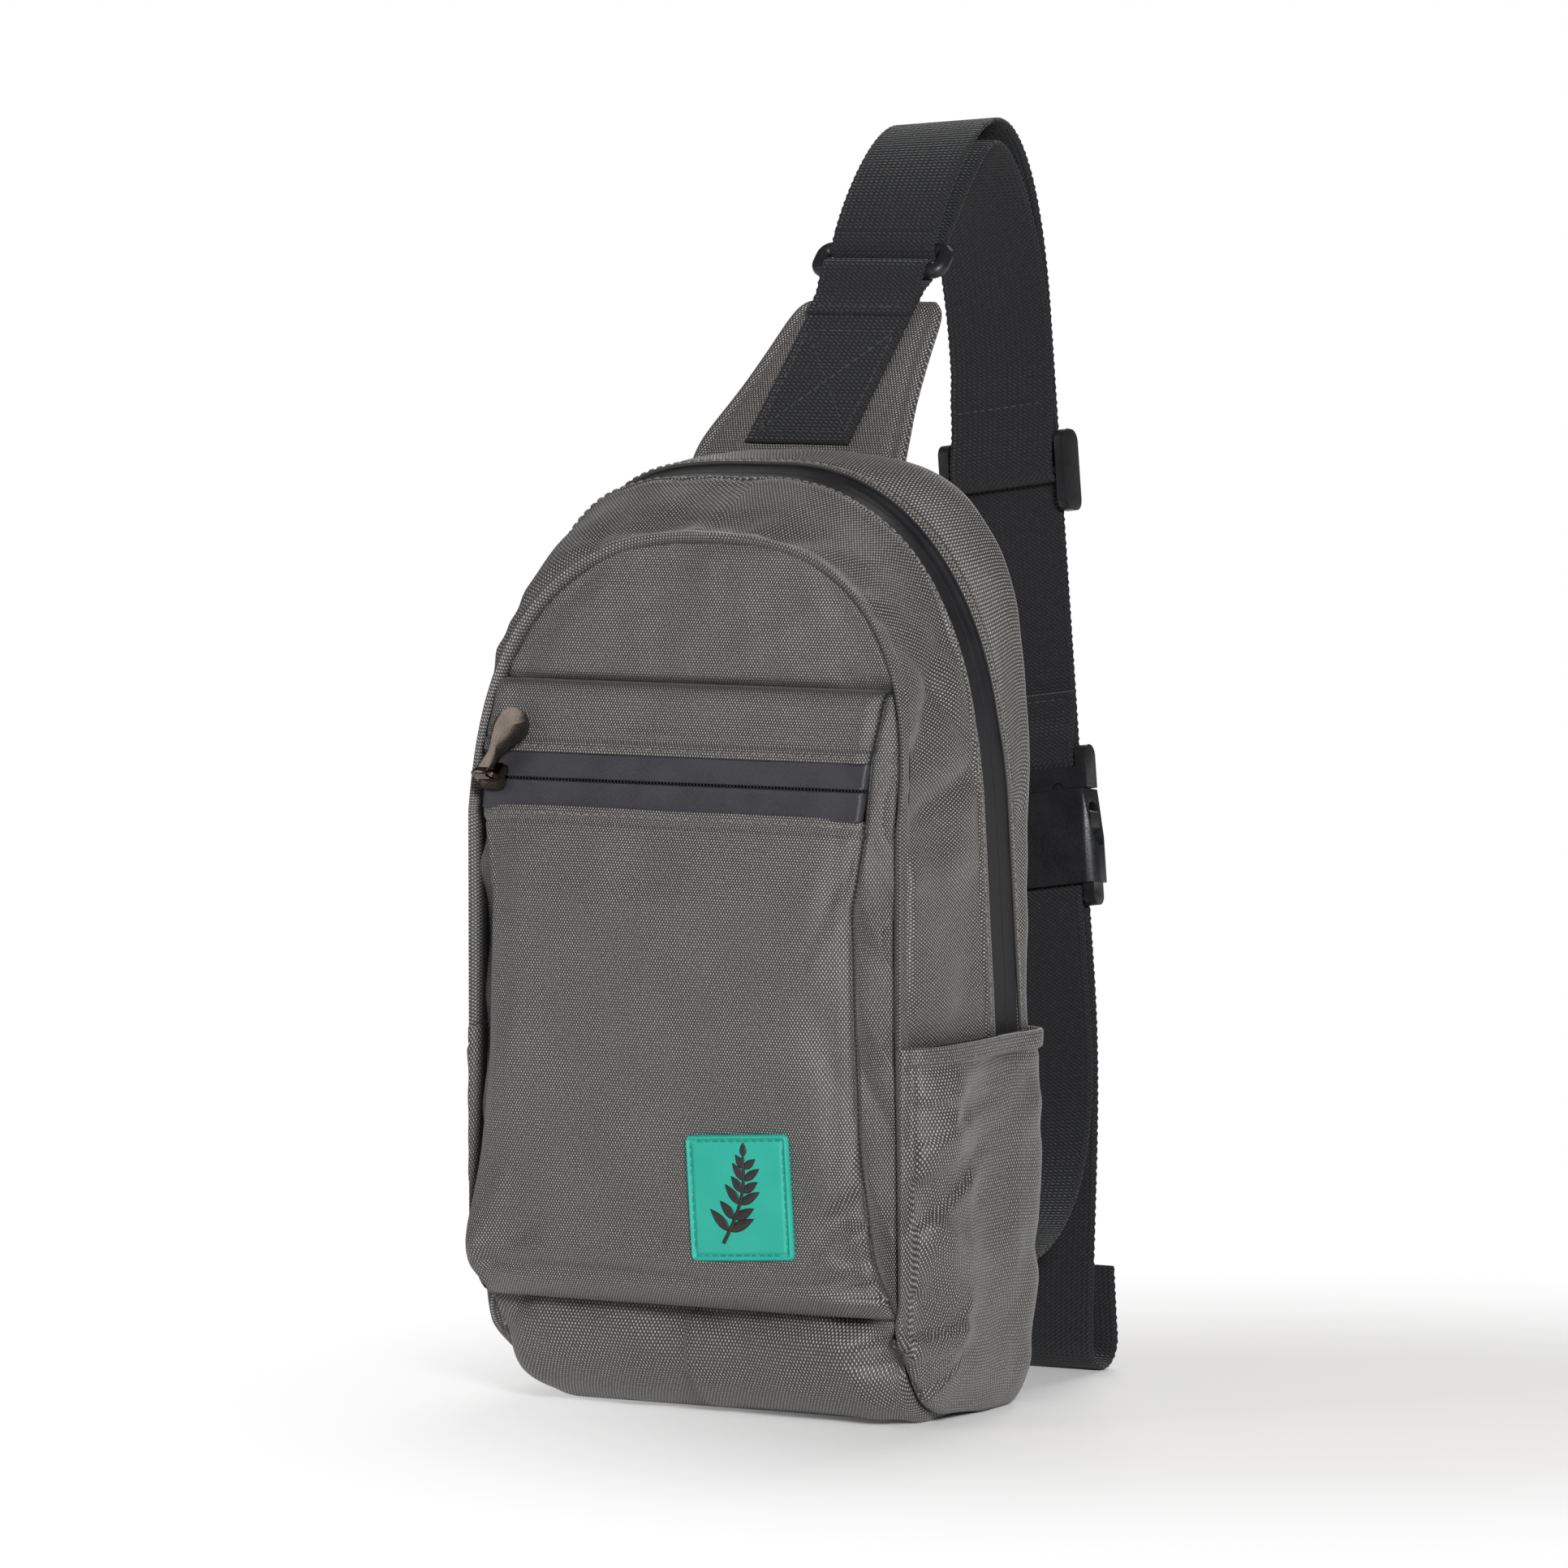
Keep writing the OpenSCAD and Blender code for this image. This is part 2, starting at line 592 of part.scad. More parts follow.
knuckle_bore = bail_r + 0.3;
knuckle_r = knuckle_bore + 0.8;
knuckle_l = slider_l * 0.42;
neck_t = zip_slit - 0.3;
module slider(behind, bar_turn) {
    bar_l = slider_h - 2 * bail_r;
    color(metal_colour) {
        translate([0, -clear, 0])
            rotate([90, 0, 0])
                rounded_plate(slider_l, slider_h, 2, slider_t);
        translate([0, behind + clear + slider_t, 0])
            rotate([90, 0, 0])
                rounded_plate(slider_l * 0.66, slider_h, 2, slider_t);
        translate([-slider_l / 4, -clear - slider_t / 2, -neck_t / 2])
            cube([slider_l / 2, behind + 2 * clear + slider_t, neck_t]);
        translate([-bail_shift, -bail_out, 0])
            rotate([0, bar_turn, 0]) {
                translate([-bar_l / 2, 0, 0])
                    rotate([0, 90, 0])
                        cylinder(r = bail_r, h = bar_l);
                for (x = [-1, 1])
                    translate([x * bar_l / 2, 0, 0]) {
                        sphere(bail_r);
                        rotate([-90, 0, 0])
                            cylinder(r = bail_r, h = bail_out - clear - slider_t / 2);
                    }
            }
    }
}
// A puller on a bar along X, pointing along Z
module puller(slant) {
    neck_w = knuckle_l;
    color(metal_colour)
        difference() {
            union() {
                translate([-knuckle_l / 2, 0, 0])
                    rotate([0, 90, 0])
                        cylinder(r = knuckle_r, h = knuckle_l);
                rotate([0, slant, 0])
                    translate([0, puller_t / 2, 0])
                        rotate([90, 0, 0])
                            linear_extrude(puller_t) {
                                translate([0, puller_l])
                                    circle(puller_r);
                                polygon([[-neck_w / 2, 0], [neck_w / 2, 0], [neck_w / 2, puller_l * 0.4],
                                    [puller_r * 0.8, puller_l - puller_r * 0.6],
                                    [-puller_r * 0.8, puller_l - puller_r * 0.6],
                                    [-neck_w / 2, puller_l * 0.4]]);
                            }
            }
            translate([-slider_l, 0, 0])
                rotate([0, 90, 0])
                    cylinder(r = knuckle_bore, h = 2 * slider_l);
        }
}
// The pocket zip's outer face, at the slider
module at_front_zip() {
    translate([slider_in - pocket_half_w(pocket_zip_z), pocket_y(pocket_zip_z) - pocket_cloth, pocket_zip_z])
        rotate([-pocket_lean, 0, 0])
            children();
}
module front_zip_slider() {
    at_front_zip() slider(coil_depth, 0);
}
module front_zip_puller() {
    at_front_zip()
        translate([-bail_shift, -bail_out, 0])
            puller(puller_slant);
}
// The main zip's left leg, at the slider: X up the leg, -Y out to the left
main_slider_z = zip_end_z + slider_l * 0.8;
leg_lean = atan(zip_rate);
module at_main_zip() {
    translate([tape_sink - body_w / 2, zip_y(main_slider_z), main_slider_z])
        rotate([leg_lean, 0, 0])
            rotate([0, -90, -90])
                children();
}
module main_zip_slider() {
    at_main_zip() slider(tape_t, 90);
}
module main_zip_puller() {
    at_main_zip()
        translate([-bail_shift, -bail_out, 0])
            rotate([0, 0, main_puller_tilt])
                rotate([0, -90, 0])
                    puller(0);
}

// Wing and ring. Along the wing, [s, n] is the way up its front face and the way out of it

X_AXIS = [1, 0, 0];
wing_mid_y = back_face + wing_t / 2 + web_gap;
wing_up = [0, sin(wing_lean), cos(wing_lean)];
wing_out = [0, -cos(wing_lean), sin(wing_lean)];
wing_foot = [0, wing_mid_y + 4, wing_bend_z];
wing_face = wing_foot + wing_out * (wing_t / 2 + web_gap + web_t / 2);
function wing_x(s) = -wing_skew * max(0, 1 - s / wing_l);
function on_wing(s, n) = wing_face + wing_up * s + wing_out * n + X_AXIS * wing_x(s);
function wing_width(t) = blend(wing_low_w, wing_top_w, t);
module wing_panel() {
    tab_w = wing_low_w + 6;
    function rise(t) = wing_foot + wing_up * wing_l * t + X_AXIS * wing_x(wing_l * t);
    color(cloth_colour) ribbon([
        [[-wing_skew, wing_mid_y, wing_bend_z - 12 - wing_tab], X_AXIS, tab_w],
        [[-wing_skew, wing_mid_y, wing_bend_z - 12], X_AXIS, blend(tab_w, wing_low_w, 0.7)],
        [[-wing_skew, wing_mid_y + 1.2, wing_bend_z - 5.5], X_AXIS, wing_low_w],
        [rise(0), X_AXIS, wing_width(0)],
        [rise(0.3), X_AXIS, wing_width(0.42)],
        [rise(0.65), X_AXIS, wing_width(0.8)],
        [rise(1), X_AXIS, wing_width(1)]], wing_t);
}

// The ring's lower bar lies in the loop of the wing's webbing
ring_wrap = ring_r + web_gap + web_t / 2;
ring_s = wing_l + ring_up_wing;
ring_low = on_wing(ring_s, 0);
ring_up = [0, sin(ring_lean), cos(ring_lean)];
ring_high = ring_low + ring_up * ring_pitch;
layer_step = web_t + web_gap;
module wing_webbing() {
    bend_s = wing_l + 1;
    under = [for (t = [0.25, 0.5, 0.75]) [blend(bend_s, ring_s, t), -ring_wrap * (1 - cos(180 * t)) / 2]];
    round_bar = [for (a = [-90 : 22.5 : 90]) [ring_s + ring_wrap * cos(a), ring_wrap * sin(a)]];
    over = [for (t = [0.25, 0.5, 0.75, 1])
        [blend(ring_s, wing_l - 3, t), blend(ring_wrap, layer_step, (1 - cos(180 * t)) / 2)]];
    route = concat([[1, 0], [wing_l * 0.5, 0], [bend_s, 0]], under, round_bar, over,
        [[wing_l - 8, layer_step]]);
    color(webbing_colour) ribbon([for (p = route) [on_wing(p[0], p[1]), X_AXIS, web_w]], web_t);
}
module strap_ring() {
    bend = ring_r + 0.5;
    half_l = web_w / 2 + 0.5;
    half_h = ring_pitch / 2 - bend;
    color(plastic_colour)
        translate(ring_low + ring_up * ring_pitch / 2)
            rotate([-ring_lean, 0, 0])
                rotate([90, 0, 0]) {
                    for (y = [-1, 1])
                        translate([-half_l, y * ring_pitch / 2, 0])
                            rotate([0, 90, 0])
                                cylinder(r = ring_r, h = 2 * half_l);
                    for (x = [-1, 1])
                        translate([x * (half_l + bend), -half_h, 0])
                            rotate([-90, 0, 0])
                                cylinder(r = ring_r, h = 2 * half_h);
                    for (q = [0 : 3])
                        translate([(q == 0 || q == 3 ? 1 : -1) * half_l, (q < 2 ? 1 : -1) * half_h, 0])
                            rotate([0, 0, 90 * q])
                                rotate_extrude(angle = 90)
                                    translate([bend, 0])
                                        circle(ring_r);
                }
}

// Rear strand: its own frame at the buckle's mouth, Z up the strand, Y away from the bag

strand_foot = [strand_x, strand_y, strand_z];
function turn_x(p, a) = [p[0], p[1] * cos(a) - p[2] * sin(a), p[1] * sin(a) + p[2] * cos(a)];
function turn_y(p, a) = [p[0] * cos(a) + p[2] * sin(a), p[1], p[2] * cos(a) - p[0] * sin(a)];
function strand_turn(p) = turn_y(turn_x(p, -lean_back), -lean_side);
function on_strand(y, z) = strand_foot + strand_turn([0, y, z]);
STRAND_AXIS = strand_turn(X_AXIS);
STRAND_UP = strand_turn([0, 0, 1]);
module at_strand(y, z) {
    translate(on_strand(y, z))
        rotate([-lean_back, -lean_side, 0])
            children();
}
function strand_route(route) = [for (p = route) [on_strand(p[0], p[1]), STRAND_AXIS, web_w]];

// A bar wrapped by webbing stands off the webbing's middle by this
buckle_wrap = buckle_bar_r + web_gap + web_t / 2;
glide_wrap = glide_bar_r + web_gap + web_t / 2;
straight_top = 160;
return_top = 150;

// Where the webbing leaves the ring's upper bar, going up in front and behind
front_rise = [0, sin(strap_rise), cos(strap_rise)];
rear_rise = [0, sin(return_rise), cos(return_rise)];
function round_ring(a) = ring_high + ring_wrap * [0, cos(a), sin(a)];
front_leave = round_ring(180 - strap_rise);
strap_start = front_leave + front_rise * 5;
arch_top = [1, arch_top_y, arch_top_z - web_t / 2];
inner_top = arch_top - [0, 1, layer_drop];
BEZIER_STEPS = 7;
WRAP_STEPS = 7;
function curve(p, q, r, s) = [for (k = [0 : BEZIER_STEPS]) bezier(p, q, r, s, k / BEZIER_STEPS)];
function tail_of(list) = [for (k = [1 : len(list) - 1]) list[k]];
// The webbing's width axis turns from the ring's to the strand's on the way down
function turning(points, from, to) = [for (k = [0 : len(points) - 1])
    [points[k], unit(blend(from, to, k / (len(points) - 1))), web_w]];

module shoulder_strap() {
    strand_top = on_strand(0, straight_top);
    rise = curve(strap_start, strap_start + front_rise * 14, arch_top - [0, 16, 0], arch_top);
    fall = curve(arch_top, arch_top + [0, 18, 0], strand_top + STRAND_UP * 38, strand_top);
    round_bar = [for (a = [0 : -22.5 : -180])
        [buckle_wrap * cos(a) - buckle_wrap, plug_bar_up + buckle_wrap * sin(a)]];
    lap_top = plug_bar_up + lap;
    lap_route = [[-1.8 * buckle_wrap, plug_bar_up + lap * 0.3],
        [-1.25 * layer_step, plug_bar_up + lap * 0.62], [-layer_step, plug_bar_up + lap * 0.85],
        [-layer_step, lap_top]];
    straight = [[0, glide_up + glide_h], [0, glide_up - glide_h]];
    color(webbing_colour) ribbon(concat(
        turning(concat([strap_start], [strap_start + front_rise * 2], tail_of(rise), tail_of(fall)),
            X_AXIS, STRAND_AXIS),
        strand_route(concat(straight, round_bar, lap_route))), web_t);
}

glide_bar_y = -web_t / 2 - clear - glide_wrap - web_t / 2;
module strap_return() {
    round_bar = [for (a = [0 : -22.5 : -180])
        [glide_bar_y + glide_wrap * cos(a), glide_up + glide_wrap * sin(a)]];
    lap_y = -layer_step;
    lap_top = glide_up + lap + 4;
    rise = [[glide_bar_y - glide_wrap, glide_up + 4], [-2.4 * layer_step, glide_up + lap * 0.75],
        [-2 * layer_step, lap_top - 2], [-2 * layer_step, lap_top + 1], [lap_y, lap_top + 10],
        [lap_y, return_top - 4]];
    strand_top = on_strand(lap_y, return_top);
    rear_leave = round_ring(-return_rise);
    up = curve(strand_top, strand_top + STRAND_UP * 40, inner_top + [0, 12, 0], inner_top);
    down = curve(inner_top, inner_top - [0, 10, 2], rear_leave + rear_rise * 18, rear_leave);
    wrap_turn = 180 + return_rise - strap_rise;
    round_ring_bar = [for (k = [1 : WRAP_STEPS]) round_ring(-return_rise - wrap_turn * k / WRAP_STEPS)];
    color(webbing_colour) ribbon(concat(
        strand_route(concat([[lap_y, lap_top], [lap_y, glide_up + 6]], round_bar, rise)),
        turning(up, STRAND_AXIS, X_AXIS),
        [for (p = concat(tail_of(down), round_ring_bar, [front_leave + front_rise * 3, strap_start]))
            [p, X_AXIS, web_w]]), web_t);
}

// Tri-glide: outer bars behind the strand, middle bar in the sewn loop before it
module triglide() {
    outer_y = web_t / 2 + clear + glide_bar_r;
    rail_x = web_w / 2 + 1;
    rail_low = glide_bar_y - glide_bar_r - 0.3;
    rail_high = outer_y + glide_bar_r + 0.3;
    color(plastic_colour)
        at_strand(0, glide_up) {
            for (bar = [[glide_bar_y, 0], [outer_y, glide_h / 2 - 2.6], [outer_y, 2.6 - glide_h / 2]])
                translate([-rail_x - 0.5, bar[0], bar[1]])
                    rotate([0, 90, 0])
                        cylinder(r = glide_bar_r, h = 2 * rail_x + 1);
            for (x = [-rail_x - glide_rail, rail_x])
                translate([x, (rail_low + rail_high) / 2, 0])
                    rotate([90, 0, 90])
                        rounded_plate(rail_high - rail_low, glide_h, 4, glide_rail);
        }
}

// Buckle: X across, Y through its thickness from its middle plane, Z up from the socket's mouth

buckle_y = -buckle_wrap;
rail_w = 4;
slot_half = web_w / 2 + 1;
arm_root_z = clear;
knuckle = arm_w / 2 + 0.3;
plug_t = buckle_t - 2 * socket_wall - 2 * clear;
window_r = plug_t / 2 + 0.4;
module slab(x, z0, z1, thick) {
    translate([-x, -thick / 2, z0])
        cube([2 * x, thick, z1 - z0]);
}
module cross_bar(z, r, half) {
    translate([-half, 0, z])
        rotate([0, 90, 0])
            cylinder(r = r, h = 2 * half);
}
// A side rail with a round end, reaching from a height to past a bar
module rail(side, z0, z1, thick) {
    r = thick / 2;
    translate([side > 0 ? slot_half : -slot_half - rail_w, 0, 0])
        rotate([90, 0, 90])
            linear_extrude(rail_w) {
                translate([-r, min(z0, z1)])
                    square([thick, abs(z1 - z0)]);
                translate([0, z1])
                    circle(r);
            }
}
module buckle_plug() {
    bridge_top = plug_bar_up - buckle_wrap - web_t / 2 - clear;
    frame_t = buckle_t * 0.65;
    color(plastic_colour)
        at_strand(buckle_y, 0)
            difference() {
                union() {
                    slab(slot_half + rail_w, clear, bridge_top, frame_t);
                    slab(4, -arm_l - 2, clear + 0.5, plug_t * 0.7);
                    cross_bar(plug_bar_up, buckle_bar_r, slot_half + 1);
                    for (side = [-1, 1])
                        rail(side, clear, plug_bar_up, frame_t);
                }
                for (side = [-1, 1])
                    translate([side * arm_x, buckle_t, arm_root_z])
                        rotate([90, 0, 0])
                            cylinder(r = knuckle + pin_clear, h = 2 * buckle_t);
            }
}
// The left flexing arm with its press pad, in the buckle's frame
pad_top = -arm_l * 0.36;
pad_low = -arm_l + 1;
module flexing_arm() {
    reach = socket_mouth_w / 2 + 1.4 - arm_x;
    translate([-arm_x, plug_t / 2, 0])
        rotate([90, 0, 0])
            linear_extrude(plug_t) {
                translate([0, arm_root_z])
                    circle(knuckle);
                translate([-arm_w / 2, -arm_l])
                    square([arm_w, arm_l + arm_root_z]);
                polygon([[0, pad_top], [-reach * 0.8, pad_top], [-reach, pad_top - 1.5],
                    [-reach, pad_low + 4], [-reach * 0.6, pad_low], [0, pad_low]]);
            }
}
module buckle_arm_left() {
    color(plastic_colour)
        at_strand(buckle_y, 0)
            flexing_arm();
}
module buckle_arm_right() {
    color(plastic_colour)
        at_strand(buckle_y, 0)
            mirror([1, 0, 0])
                flexing_arm();
}
module buckle_socket() {
    hollow = slot_half - 0.5;
    lock_z = -socket_l - lock_bar_down;
    wide = socket_w / 2;
    mouth = socket_mouth_w / 2;
    round_end = window_r - sqrt(pow(window_r, 2) - pow(plug_t / 2, 2));
    window_top = pad_top + round_end + clear;
    window_low = pad_low - round_end - clear;
    color(plastic_colour)
        at_strand(buckle_y, 0) {
            difference() {
                intersection() {
                    translate([0, buckle_t / 2, 0])
                        rotate([90, 0, 0])
                            linear_extrude(buckle_t)
                                polygon([[-mouth, 0], [-mouth - 1.5, -socket_l * 0.4],
                                    [-wide, -socket_l * 0.62], [-wide, -socket_l],
                                    [wide, -socket_l], [wide, -socket_l * 0.62],
                                    [mouth + 1.5, -socket_l * 0.4], [mouth, 0]]);
                    translate([0, 0, -socket_l])
                        rounded_plate(socket_w, buckle_t, buckle_t * 0.4, socket_l);
                }
                slab(hollow, -socket_l + 3, 1, buckle_t - 2 * socket_wall);
                for (x = [-socket_w, 0])
                    translate([x, 0, 0])
                        rotate([90, 0, 90])
                            linear_extrude(socket_w) {
                                for (z = [window_low + window_r, window_top - window_r])
                                    translate([0, z])
                                        circle(window_r);
                                translate([-window_r, window_low + window_r])
                                    square([2 * window_r, window_top - window_low - 2 * window_r]);
                            }
            }
            for (side = [-1, 1])
                rail(side, -socket_l + 1, lock_z, buckle_t * 0.6);
            cross_bar(lock_z, buckle_bar_r, slot_half + 1);
        }
}

// Lower strap: from the anchor out to the buckle's lock bar, over it, and down as the free tail

anchor_x = 50;
anchor_z = 42;
anchor_t = 3;
anchor_h = 34;
module strap_anchor() {
    color(cloth_colour)
        translate([anchor_x, back_face + anchor_t, anchor_z])
            rotate([90, 0, 0])
                rounded_plate(web_w + 6, anchor_h, 4, anchor_t);
}
module lower_strap() {
    lock_z = -socket_l - lock_bar_down;
    front_n = -2 * buckle_wrap;
    rise_top = on_strand(front_n, lock_z - strap_straight);
    anchor_end = [anchor_x, back_face + anchor_t + 0.05, anchor_z];
    rise = curve(anchor_end, anchor_end + [1, strap_pull, -3], rise_top - STRAND_UP * strap_pull, rise_top);
    over_bar = [for (a = [180 : -22.5 : 0])
        [buckle_wrap * cos(a) - buckle_wrap, lock_z + buckle_wrap * sin(a)]];
    hang_top = on_strand(0, lock_z - strap_straight * 0.62);
    curl_top = [tail_x, tail_y, tail_r + web_t / 2 + 0.3];
    hang = curve(hang_top, hang_top - STRAND_UP * strap_pull, curl_top + [0, 0, strap_pull], curl_top);
    curl_mid = curl_top + [0, tail_r, 0];
    curl = [for (a = [202.5 : 22.5 : 360]) curl_mid + tail_r * [0, cos(a), sin(a)]];
    flap = [curl_mid + [-1, tail_r + 1, 6], [tail_x - 3, curl_mid[1] + tail_r + 3, tail_end_z]];
    color(webbing_colour) ribbon(concat(
        turning(rise, X_AXIS, STRAND_AXIS),
        strand_route(concat([[front_n, lock_z - strap_straight / 2]], over_bar,
            [[0, lock_z - strap_straight * 0.38]])),
        turning(hang, STRAND_AXIS, X_AXIS),
        [for (p = concat(curl, flap)) [p, X_AXIS, web_w]]), web_t);
}

base_panel();
base_board();
side_panel_left();
side_panel_right();
side_pocket_left();
side_pocket_right();
front_gusset();
rear_gusset();
main_zip_tape_front();
main_zip_tape_rear();
main_zip_slider();
main_zip_puller();
back_panel();
back_foam();
upper_front_panel();
pocket_back_panel();
lower_front_panel();
pocket_top_band();
pocket_panel();
pocket_gusset_left();
pocket_gusset_right();
front_zip_tape_upper();
front_zip_tape_lower();
front_zip_slider();
front_zip_puller();
patch();
wing_panel();
wing_webbing();
strap_ring();
shoulder_strap();
strap_return();
triglide();
buckle_plug();
buckle_arm_left();
buckle_arm_right();
buckle_socket();
lower_strap();
strap_anchor();
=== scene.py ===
"""Looks of a sling bag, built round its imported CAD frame. Lengths are in millimetres until a mesh is made."""
import math

import bmesh
import bpy
import numpy as np
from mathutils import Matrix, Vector


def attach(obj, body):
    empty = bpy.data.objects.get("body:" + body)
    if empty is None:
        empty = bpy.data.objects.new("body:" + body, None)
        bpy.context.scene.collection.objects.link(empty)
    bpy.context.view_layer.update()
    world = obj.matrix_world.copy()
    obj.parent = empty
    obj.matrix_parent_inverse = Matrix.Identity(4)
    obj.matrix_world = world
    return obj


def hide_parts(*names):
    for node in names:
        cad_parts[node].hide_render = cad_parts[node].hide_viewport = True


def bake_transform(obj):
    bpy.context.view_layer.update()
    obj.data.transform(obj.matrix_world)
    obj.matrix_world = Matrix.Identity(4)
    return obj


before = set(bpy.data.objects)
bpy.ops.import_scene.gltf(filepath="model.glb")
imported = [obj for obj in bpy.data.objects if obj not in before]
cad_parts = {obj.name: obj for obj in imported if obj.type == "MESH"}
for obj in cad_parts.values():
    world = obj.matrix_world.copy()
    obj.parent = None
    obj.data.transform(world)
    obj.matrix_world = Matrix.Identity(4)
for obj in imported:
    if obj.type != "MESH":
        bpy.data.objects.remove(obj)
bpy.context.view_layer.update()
MM = 0.001

# Sizes that the part's source gives, in millimetres and degrees
BODY_W, BODY_H, FRONT_H = 160, 303, 279  # the cloth's front seam sits 4 higher than in the part
FRONT_Y, BACK_Y, BACK_FACE = -44, 38, 42
SHOULDER_Z, FRONT_SLOPE = 190, math.tan(math.radians(10))
DOME_POWER, LEFT_BULGE, CORNER_R, FRONT_CORNER_R, EDGE_R = 2.5, 1.5, 22, 9, 28
ZIP_W, ZIP_END_Z, ZIP_LOW_Y, ZIP_TOP_Y, ZIP_RATE = 15, 120, 22.5, 11, 0.115
POCKET_LOW, POCKET_CURL, POCKET_BEND, POCKET_TOP = 36, 12, 165, 232  # top seam 3 lower than in the part
POCKET_FULL = POCKET_LOW + POCKET_CURL
POCKET_GAP, POCKET_CLOTH, FRONT_WALL, POCKET_MARGIN = 12.4, 1.6, 2, 1.5
POCKET_FLAT_Y = FRONT_Y - FRONT_WALL - POCKET_GAP
POCKET_ZIP, POCKET_ZIP_H = 201, 17
SIDE_GAP, SIDE_CLOTH, SIDE_FULL_Z = 4.8, 1.5, 70
PATCH_W, PATCH_H, PATCH_R, PATCH_AT, PATCH_TURN = 37, 40, 2, (28.5, 73), 3.5
WEB_W, WEB_T, WEB_GAP = 38, 1.4, 0.2
LAYER = WEB_T + WEB_GAP
BACK_ROLL, BACK_DRAW, FRONT_DRAW, ZIP_GAP = 5, 3, 2, 0.4
FRONT_HALF_W = BODY_W / 2 - FRONT_DRAW

# Sizes of the cloth alone
LEFT_CORNER_R = 14  # its lower left corner has slumped rounder than the right one
RIGHT_REAR_R = 13  # its lower right corner behind the front seam is squarer
SLUMP, SLUMP_Z, SLUMP_FADE = 7.5, 60, 36  # how far the lower left is drawn in, below which height, and how softly

# Outline steps and stations that the skin's formulas meet at, and shares at stations from the front seam to the back
CORNER_TOP, SIDE_FULL, HEM, SHOULDER, TOP = 5, 6, 7, 8, 18
CORNER_STEPS, LEFT_HEM = CORNER_TOP - 1, 2 * TOP - HEM
EDGE_END, BACK_START, BACK_STATION = 3, 8, 9
EDGE_SHARE, FRONT_SHARE = [0, 0.12, 0.4, 0.8, 1], [1, 0.5, 0.15, 0, 0]
CLIMB = [0, 0.1, 0.36, 0.6, 0.68, 0.74, 0.75, 0.85, 1, 0.93]
SQUARE_RIGHT = [0, -0.1, -0.15, -0.2, -0.2, -0.25, -0.25, -0.3, 0.8, 0.8]
LEFT_SHARE = [0, 0.3, 0.6, 0.9, 1, 1, 1, 1, 0.9, 0.7]
STAND_OFF = [0, 0.5, 0.9, 1, 1, 1, 1, 1, 0.8, 0]
BAG_MIDDLE = np.array([0, -3, 130.0])
X_AXIS, Y_AXIS, Z_AXIS = np.eye(3)


# Lines and grids of points

def unit(v):
    return v / np.maximum(np.linalg.norm(v, axis=-1, keepdims=True), 1e-9)


def grid(a, b):
    return np.meshgrid(a, b, indexing="ij")


def run_of(line):
    """How far along a line each of its points lies."""
    return np.concatenate([[0], np.cumsum(np.linalg.norm(np.diff(line, axis=0), axis=-1))])


def read_at(at, run, rows):
    """Rows of values read at given runs along a line."""
    return np.stack([np.interp(at, run, column) for column in rows.T], -1)


def run_along(points, axis, last=False):
    """Millimetres run along a grid's axis from its first or last row."""
    step = np.linalg.norm(np.diff(points, axis=axis), axis=-1)
    run = np.pad(np.cumsum(step, axis=axis), [(1, 0) if axis == k else (0, 0) for k in (0, 1)])
    return run.take([-1], axis) - run if last else run


def stations(marks, counts):
    """Values from mark to mark, with a count of steps between each two."""
    parts = [np.linspace(a, b, n, endpoint=False) for a, b, n in zip(marks[:-1], marks[1:], counts)]
    return np.concatenate(parts + [[marks[-1]]])


def from_sides(points):
    """How far each point of a grid lies from its first and last column."""
    return run_along(points, 1), run_along(points, 1, last=True)


def spot(origin, *steps):
    """Points at steps from an origin: pairs of an axis and how far to go along it, one number or many."""
    return origin + sum(np.asarray(far, float)[..., None] * axis for axis, far in steps)


def rise_of(angle):
    """The way up, leaning back by an angle."""
    return np.array([0, math.sin(math.radians(angle)), math.cos(math.radians(angle))])


def arc(middle, r, degrees):
    """Points of a circle across x, one angle or many."""
    a = np.radians(degrees)
    return spot(middle, (Y_AXIS, r * np.cos(a)), (Z_AXIS, r * np.sin(a)))


def crossed(points):
    """Normals of a grid, not yet of length 1."""
    return np.cross(np.gradient(points, axis=0), np.gradient(points, axis=1))


def faces_out(normals, points, middle):
    """Whether most normals point away from a middle."""
    return np.mean(np.sum(normals * (points - middle), -1)) > 0


# Shapes of the bag: the formulas of the part's source, with the cloth's own corners and slump

def smooth(t):
    """0 to 1 with soft ends."""
    t = np.clip(t, 0, 1)
    return t * t * (3 - 2 * t)


def bell(off, wide):
    """1 in the middle, falling to nothing on both sides."""
    return np.exp(-(off / wide) ** 2)


def table(values, i):
    """A list of station values, read smoothly between stations."""
    v = np.asarray(values, float)
    k = np.clip(np.floor(i).astype(int), 0, len(v) - 2)
    t = i - k
    a, b, c, d = (v[np.clip(k + m, 0, len(v) - 1)] for m in (-1, 0, 1, 2))
    return b + t * ((c - a) + t * ((2 * a - 5 * b + 4 * c - d) + t * (3 * (b - c) + d - a))) / 2


def seam_y(z):
    return FRONT_Y + np.maximum(0, z - SHOULDER_Z) * FRONT_SLOPE


def zip_y(z):
    return np.clip(ZIP_LOW_Y - (z - ZIP_END_Z) * ZIP_RATE, ZIP_TOP_Y, ZIP_LOW_Y)


def edge_turn(i):
    """How far the skin has turned from the front round to the sides."""
    return np.minimum(i, EDGE_END) * math.pi / 6


def back_turn(i):
    """How far it has turned from the sides round to the back."""
    return np.clip(i - BACK_START, 0, 1) * math.pi / 2


